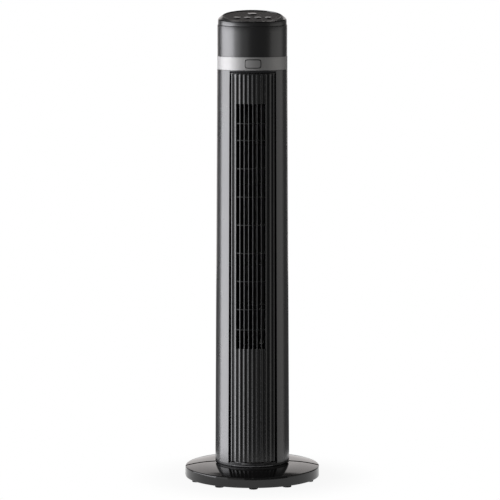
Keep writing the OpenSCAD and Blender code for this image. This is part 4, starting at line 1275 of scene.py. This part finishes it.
@dataclass(frozen=True)
class Head:
    """Silver band with its blank badge, head shell, collar and the cap round the control panel."""

    band_z0: float = 891.0
    band_z1: float = 919.0
    band_r: float = 75.4
    band_wall: float = 2.2
    band_edge: float = 0.35
    badge_w: float = 36.2
    badge_h: float = 20.3
    badge_power: float = 6.0
    badge_start: float = 0.013
    badge_up: float = 0.78
    line_in: tuple[float, float] = (0.5, 2.1)
    shell_r: float = 75.0
    shell_in: float = 73.1
    shell_fillet: float = 0.9
    step_z: float = 986.1
    step_tilt: float = 2.1
    collar_r: float = 74.0
    collar_h: float = 11.3
    collar_fillet: float = 1.0
    collar_tilt: float = 3.6
    joint_z: float = 998.6
    cap_r: float = 73.2
    cap_bulge: float = 0.3
    rim_r: float = 63.2
    rim_z: float = 1005.25
    rim_tilt: float = 9.6
    face_z: float = 1004.4
    face_tilt: float = 9.0
    face_r: float = 61.5
    skirt_r: float = 70.5

    def sloped(self, line: list, name: str) -> bpy.types.Object:
        """A closed profile turned round the axis, whose points lean with planes of their own.

        Args:
            line: (radius, height on the axis, tilt in degrees); a point stands at height + y tan(tilt).
            name: name of the piece.

        Returns:
            The piece.
        """
        rows = flat(line)
        turn = np.linspace(0, 2 * np.pi, 144, endpoint=False)[:, None]
        x, y = rows[None, :, 0] * np.cos(turn), rows[None, :, 0] * np.sin(turn)
        z = rows[None, :, 1] + y * np.tan(np.radians(rows[None, :, 2]))
        return Net().tube(np.stack([x, y, z], -1), True).build(name)

    def build(self, wear: Wardrobe) -> None:
        """Makes the pieces from the band up to the cap.

        Args:
            wear: gives the pieces their finishes.
        """
        wear.dress(self.band(), SILVER_BAND, "column", "trim_band")
        wear.dress(self.badge(), SILVER_BADGE, "column", "badge")
        # The badge frame's near-black finish is painted shade in the sunk line.
        wear.dress(self.badge_line(), PAINTED_SHADE_BLACK, "column", "badge")
        wear.dress(self.shell(), HEAD_CASE, "column", "head_shell")
        wear.dress(self.collar(), HEAD_CASE, "column", "collar")
        # The joint ring's near-black finish is painted shade in the gap between collar and cap.
        wear.dress(self.joint(), PAINTED_SHADE_BLACK, "column")
        wear.dress(self.cap(), CAP_CASE, "column", "top_cap")

    def band(self) -> bpy.types.Object:
        """The silver band: a ring with narrow bevels along its outer edges.

        Returns:
            The band.
        """
        r, inner, c = self.band_r, self.band_r - self.band_wall, self.band_edge
        z0, z1 = self.band_z0, self.band_z1
        skin = [(r, z) for z in np.linspace(z0 + 3, z1 - 3, 5)]
        line = [(inner, z0), (r - c, z0), (r, z0 + c), *skin, (r, z1 - c), (r - c, z1), (inner, z1)]
        return Net().spin(line, 160).build("silver_band")

    def shell(self) -> bpy.types.Object:
        """The head shell: upright from the band, with a rounded top edge that leans with the step.

        Returns:
            The shell.
        """
        r, f, t, low = self.shell_r, self.shell_fillet, self.step_tilt, self.band_z1 + 0.02
        skin = [(r, z, 0) for z in (930.0, 945.0, 960.0)]
        edge = [(a, b, t) for a, b in fillet((r - f, self.step_z - f), f, 0, 90)]
        line = [
            (self.shell_in, low, 0), (r - 0.3, low, 0), (r, low + 0.3, 0), *skin, (r, 972.0, 0.5 * t), *edge,
            (self.shell_in, self.step_z, t),
        ]
        return self.sloped(line, "head_case")

    def collar(self) -> bpy.types.Object:
        """The collar on the shell's step, whose tilt grows upwards to that of the cap's joint.

        Returns:
            The collar.
        """
        r, inner, g = self.collar_r, self.skirt_r + 0.3, self.collar_fillet
        z, t, c = self.step_z, self.step_tilt, self.collar_tilt
        foot, top = z - 8, z + self.collar_h
        edge = [(a, b, c) for a, b in fillet((r - 0.3 - g, top - g), g, 0, 90)]
        line = [
            (inner, foot, t), (r - 1.2, foot, t), (r - 1.2, z + 0.25, t), (r - 0.3, z + 0.25, t),
            (r, z + 0.7, t), (r - 0.1, z + 4, 2.6), *edge, (inner, top, c),
        ]
        return self.sloped(line, "head_collar")

    def joint(self) -> bpy.types.Object:
        """The set-back ring whose near-black finish paints the shade in the joint between the collar and the
        cap.

        Returns:
            The ring.
        """
        outer, inner, low, high = self.skirt_r, self.skirt_r - 4, self.step_z - 2, self.joint_z + 0.3
        t, c = self.step_tilt, self.collar_tilt
        line = [(inner, low, t), (outer, low, t), (outer, high, c), (inner, high, c)]
        return self.sloped(line, "joint_skirt")

    def plate(self, rings: tuple, closed: bool = False) -> Net:
        """Rounded rectangles on the band, one for each (shrink, lift), joined from each to the next.

        At angle a the outline is x = w m cos a, z = h m sin a with m = (|cos a|^p + |sin a|^p)^(-1/p),
        a rectangle whose corners tighten as the power p grows. Its first point lies at the start angle, and
        all lie on the cylinder of the band's radius plus the lift.

        Args:
            rings: how far each outline lies inside the plate's edge, and how far above the band.
            closed: whether the last outline joins the first.

        Returns:
            The net of the plate.
        """
        power, turn = self.badge_power, full_turn(200) + self.badge_start
        reach = (np.abs(np.cos(turn)) ** power + np.abs(np.sin(turn)) ** power) ** (-1 / power)
        middle = (self.band_z0 + self.band_z1) / 2
        grid = []
        for shrink, lift in rings:
            w, h = self.badge_w / 2 - shrink, self.badge_h / 2 - shrink
            x, z = w * reach * np.cos(turn), h * reach * np.sin(turn)
            grid.append(across_front(x, self.band_r + lift, z + middle))
        return Net().tube(np.stack(grid), closed)

    def badge(self) -> bpy.types.Object:
        """A blank plate with a softened edge and a sunk line for the dark frame of painted shade.

        Returns:
            The plate.
        """
        up, (start, end) = self.badge_up, self.line_in
        edge = ((0, 0.0), (0, 0.55), (0.2, up - 0.02), (0.4, up), (start, 0.45), (end, 0.45), (end + 0.1, up))
        field = tuple((shrink, up) for shrink in (3.0, 4.7, 6.5, 8.5, 9.7))
        return self.plate((*edge, *field)).build("blank_badge", crease=28)

    def badge_line(self) -> bpy.types.Object:
        """The dark frame that fills the sunk line of the plate; its near-black finish is painted shade.

        Returns:
            The frame.
        """
        start, end = self.line_in[0] + 0.02, self.line_in[1] - 0.02
        rings = ((start, 0.47), (start, 0.7), (end, 0.7), (end, 0.47))
        return self.plate(rings, closed=True).build("badge_frame", crease=28)

    def cap(self) -> bpy.types.Object:
        """The cap: a shoulder lofted from the level joint below to the sloped rim above, and its lip.

        The shoulder runs from one tilted circle to another: radius and height follow a quarter of an
        ellipse, and the tilt turns from that of the joint to that of the rim.

        Returns:
            The cap.
        """
        share = np.linspace(0, 1, 15)
        out = mix(share, np.sin(share * np.pi / 2), self.cap_bulge)
        over = mix(share, 1 - np.cos(share * np.pi / 2), self.cap_bulge)
        z, t, f = self.rim_z, self.rim_tilt, self.face_tilt
        low, j = self.joint_z, self.collar_tilt
        radii = mix(self.cap_r, self.rim_r + 0.4, over)
        shoulder = list(zip(radii, mix(low + 0.5, z, out), mix(j, t, out)))
        wall_r, deep = self.face_r + 0.2, self.face_z - 3.5
        lip = [
            (self.rim_r, z + 0.02, t), (wall_r + 0.5, z - 0.02, t), (wall_r + 0.1, z - 0.25, t),
            (wall_r, self.face_z, f), (wall_r, deep, f), (wall_r - 3, deep, f),
        ]
        foot = [(self.skirt_r - 6, low, j), (self.cap_r - 0.6, low, j)]
        return self.sloped([*foot, *shoulder, *lip], "head_cap")


class Key(Enum):
    """The five buttons: body, place across, place from front to back and radius, on the sloped panel."""

    POWER = ("button_power", 0.0, 26.0, 9.8)
    SPEED = ("button_speed", -33.0, -20.0, 7.3)
    MODE = ("button_mode", -11.0, -20.0, 7.3)
    SWING = ("button_swing", 11.0, -20.0, 7.3)
    TIMER = ("button_timer", 33.0, -20.0, 7.3)


@dataclass(frozen=True)
class Controls:
    """The polished control panel with its domed buttons and lenses."""

    head: Head
    proud: float = 1.5
    crown: float = 0.35
    edge: float = 0.45
    lean: float = 4.0
    face_t: float = 2.5
    flange: float = 1.2
    stem_r: float = 2.0
    stem_end: float = 7.7

    def button(self, key: Key) -> bpy.types.Object:
        """A button as a profile turned round its own axis: crown, rounded shoulder, wall, flange and stem.

        The crown falls from its middle as crown (r / R)^2.

        Args:
            key: which of the five.

        Returns:
            The button, in its place on the panel.
        """
        name, x, y, r = key.value
        way = (r - self.edge) * np.linspace(0, 1, 12)
        top = list(zip(way, self.proud - self.crown * (way / r) ** 2))
        shoulder = fillet((r - self.edge, top[-1][1] - self.edge), self.edge, 78, 0)
        under, low, wide = -self.face_t, -self.face_t - self.flange, r + self.flange
        body = [
            (r, under), (wide, under), (wide, low), (self.stem_r, low),
            (self.stem_r, -self.stem_end), (0, -self.stem_end),
        ]
        place = tilted(self.head.face_z, self.head.face_tilt, x, y, self.lean)
        return Net().dome([*top, *shoulder, *body], 64, place).build(name + "_dome", crease=40)

    def build(self, wear: Wardrobe) -> None:
        """Dresses the panel and makes the buttons.

        Args:
            wear: gives the pieces their finishes.
        """
        wear.node(PANEL_GLOSS, "control_panel")
        wear.node(LENS, "indicator_lenses")
        wear.node(BOARD, "control_board", "power_board")
        wear.node(PARTS, "button_switches", "board_parts")
        for key in Key:
            body = key.value[0]
            wear.dress(self.button(key), BUTTON_GLOSS, body, body)


class Works:
    """What the shells hide: swivel, swing drive, motor, impeller and wiring, which keep their CAD shapes."""

    FINISHES: dict[Finish, tuple[str, ...]] = {
        MATT_INNER: ("swivel_spool",),
        NYLON: ("slip_ring_lower", "slip_ring_upper", "swivel_retainer", "swing_pinion"),
        SHEET: ("swing_bracket", "swing_motor", "motor_can", "motor_bracket"),
        ZINC: ("swing_shaft", "motor_shaft", "top_shaft"),
        FAN_BLACK: ("impeller",),
        LAMINATION: ("rotor", "stator"),
        COPPER: ("windings",),
        BRONZE: ("motor_bushes", "top_bush"),
        RUBBER: ("rubber_mounts", "top_rubber"),
        CAPACITOR: ("run_capacitor",),
        SLEEVE: ("wiring_loom",),
    }

    def build(self, wear: Wardrobe) -> None:
        """Gives each inner node its finish."""
        for finish, nodes in self.FINISHES.items():
            wear.node(finish, *nodes)


# ---------------------------------------------------------------- studio


@dataclass(frozen=True)
class Lamp:
    """A soft box: an area lamp that covers a range of directions round the fan and faces it."""

    name: str
    start: float
    end: float
    glow: float
    distance: float = 2.0
    height: float = 0.3
    tall: float = 1.7
    colour: Colour = (1.0, 1.0, 1.0)

    def build(self) -> None:
        """Stands the lamp; its angles are counted from the front, with the left side negative.

        The width is the chord 2 d tan(half the range), and the power is that of a plain surface of the
        wanted glow, pi times glow times area.
        """
        data = bpy.data.lights.new(self.name, "AREA")
        data.shape = "RECTANGLE"
        data.size = 2 * self.distance * math.tan(math.radians(self.end - self.start) / 2)
        data.size_y = self.tall
        data.energy = math.pi * self.glow * data.size * data.size_y
        data.color = self.colour
        lamp = bpy.data.objects.new(self.name, data)
        a = math.radians((self.start + self.end) / 2)
        lamp.location = self.distance * math.sin(a), -self.distance * math.cos(a), self.height
        aim = Vector((0, 0, min(self.height, 0.6))) - lamp.location
        lamp.rotation_euler = aim.to_track_quat("-Z", "Y").to_euler()
        lamp.visible_camera = False
        bpy.context.scene.collection.objects.link(lamp)


@dataclass(frozen=True)
class Studio:
    """Pale floor, white background, soft boxes and the camera, in metres."""

    lens: float = 187.2
    sensor: float = 36.0
    camera_x: float = -0.005
    camera_far: float = 5.6
    camera_turn: float = 1.0
    camera_z: float = 1.155
    pitch: float = 6.682
    floor_r: float = 0.31
    floor_grey: float = 0.9
    floor_rough: float = 0.7
    floor_ramp: tuple[float, ...] = (0.15, 0.3, 0.92, 1.0)
    card_y: float = 3.4
    card_half: float = 1.6
    card_top: float = 2.6
    card_full: float = 1.87
    card_fade: float = 2.14
    card_dim: float = 0.09
    card_wing: float = 0.5
    card_edge: float = 0.75
    card_shift: float = 0.13
    card_colour: Colour = (1.0, 0.955, 0.94)
    room: float = 0.1
    white_behind: tuple[float, float] = (0.95, 0.99)
    white_level: tuple[float, float] = (0.04, 0.1)
    lamps: tuple[Lamp, ...] = (
        Lamp("box_left_far", -119, -99, 4.5, height=0.34, tall=1.78, colour=(0.965, 0.965, 1.0)),
        Lamp("box_left", -99, -64, 5.7, height=0.34, tall=1.78, colour=(0.965, 0.965, 1.0)),
        Lamp("box_left_wing", -64, -42, 1.3, colour=(0.98, 0.985, 1.0)),
        Lamp("box_left_fade", -42, -14, 0.36),
        Lamp("box_right", 60, 114, 0.55, colour=(1.0, 0.985, 0.96)),
        Lamp("box_over", -12, 12, 2.0, distance=0.3, height=3.4, tall=1.4),
    )

    def stage_piece(self, name: str, corners: list, wiring: Wiring) -> bpy.types.Object:
        """A flat face that isn't part of the fan.

        Args:
            name: name of the piece.
            corners: its corners in metres.
            wiring: its material.

        Returns:
            The piece.
        """
        mesh = bpy.data.meshes.new(name)
        mesh.from_pydata(corners, [], [list(range(len(corners)))])
        mesh.materials.append(wiring.material)
        obj = bpy.data.objects.new(name, mesh)
        bpy.context.scene.collection.objects.link(obj)
        return obj

    def build_floor(self) -> None:
        """A round pale floor that is white to the camera and keeps the fan's soft shadow close to it."""
        wiring = Wiring("pale_floor")
        wiring.shader.inputs["Base Color"].default_value = (*[self.floor_grey] * 3, 1)
        wiring.shader.inputs["Roughness"].default_value = self.floor_rough
        reach = wiring.node("ShaderNodeVectorMath")
        reach.operation = "LENGTH"
        wiring.join(wiring.place, reach.inputs[0])
        near = wiring.ramp(reach.outputs["Value"], *self.floor_ramp)
        glow = wiring.node("ShaderNodeEmission", Color=(1, 1, 1, 1), Strength=1.0)
        mixed = wiring.node("ShaderNodeMixShader")
        white = wiring.combine("MAXIMUM", *wiring.rays())
        wiring.join(wiring.combine("MULTIPLY", white, near), mixed.inputs["Fac"])
        wiring.join(wiring.shader.outputs["BSDF"], mixed.inputs[1])
        wiring.join(glow.outputs["Emission"], mixed.inputs[2])
        wiring.join(mixed.outputs["Shader"], wiring.output.inputs["Surface"])
        ring = round_axis(self.floor_r, full_turn(96), 0.0)
        self.stage_piece("floor", ring.tolist(), wiring)

    def build_card(self) -> None:
        """A white card behind the fan, dim at the middle of its top, that only light and gloss meet."""
        wiring = Wiring("white_card")
        split = wiring.node("ShaderNodeSeparateXYZ")
        wiring.join(wiring.place, split.inputs["Vector"])
        middle = wiring.ramp(split.outputs["Z"], self.card_full, self.card_fade, 1.0, self.card_dim)
        side = wiring.combine("ABSOLUTE", wiring.combine("SUBTRACT", split.outputs["X"], self.card_shift))
        wings = wiring.ramp(side, self.card_wing, self.card_edge, self.card_dim, 1.0)
        glow = wiring.node("ShaderNodeEmission", Color=(*self.card_colour, 1))
        wiring.join(wiring.combine("MAXIMUM", middle, wings), glow.inputs["Strength"])
        wiring.join(glow.outputs["Emission"], wiring.output.inputs["Surface"])
        w, y, top = self.card_half, self.card_y, self.card_top
        card = self.stage_piece("backdrop", [(-w, y, 0), (w, y, 0), (w, y, top), (-w, y, top)], wiring)
        card.visible_camera = False

    def build_world(self) -> None:
        """White to the camera and, low down behind, to reflections; a dim room elsewhere."""
        world = bpy.data.worlds.new("studio")
        bpy.context.scene.world = world
        world.use_nodes = True
        tree = Tree(world.node_tree)
        tree.tree.nodes.clear()
        place = tree.node("ShaderNodeTexCoord")
        split = tree.node("ShaderNodeSeparateXYZ")
        tree.join(place.outputs["Generated"], split.inputs["Vector"])
        behind = tree.ramp(split.outputs["Y"], *self.white_behind, 0.0, 1.0)
        level = tree.ramp(tree.combine("ABSOLUTE", split.outputs["Z"]), *self.white_level, 1.0, 0.0)
        camera, bent = tree.rays()
        bent = tree.combine("MULTIPLY", bent, tree.combine("MULTIPLY", behind, level))
        white = tree.combine("MAXIMUM", camera, bent)
        back = tree.node("ShaderNodeBackground", Color=(1, 1, 1, 1))
        tree.join(tree.combine("MAXIMUM", white, self.room), back.inputs["Strength"])
        out = tree.node("ShaderNodeOutputWorld")
        tree.join(back.outputs["Background"], out.inputs["Surface"])

    def build_camera(self) -> None:
        """A long lens a little above the head, pitched down at the middle of the fan."""
        data = bpy.data.cameras.new("camera")
        data.lens = self.lens
        data.sensor_width = self.sensor
        data.clip_start, data.clip_end = 0.1, 60.0
        camera = bpy.data.objects.new("camera", data)
        turn = math.radians(self.camera_turn)
        place = self.camera_x - self.camera_far * math.sin(turn), -self.camera_far * math.cos(turn)
        camera.location = *place, self.camera_z
        camera.rotation_euler = math.radians(90 - self.pitch), 0, -turn
        bpy.context.scene.collection.objects.link(camera)
        bpy.context.scene.camera = camera

    def build(self) -> None:
        """Sets up the whole studio."""
        bpy.context.scene.view_settings.view_transform = "Standard"
        self.build_camera()
        self.build_floor()
        self.build_card()
        self.build_world()
        for lamp in self.lamps:
            lamp.build()


def write_sizes() -> None:
    """Updates the view layer."""
    bpy.context.view_layer.update()


def main() -> None:
    """Builds the studio and every sub-assembly in order."""
    logging.basicConfig(level=logging.INFO, format="%(name)s: %(message)s")
    Studio().build()
    wear = Wardrobe()
    column = Column()
    head = Head()
    for part in (Base(), column, FlutedPanel(column), head, Controls(head), Works()):
        part.build(wear)
    write_sizes()


if __name__ == "__main__":
    main()
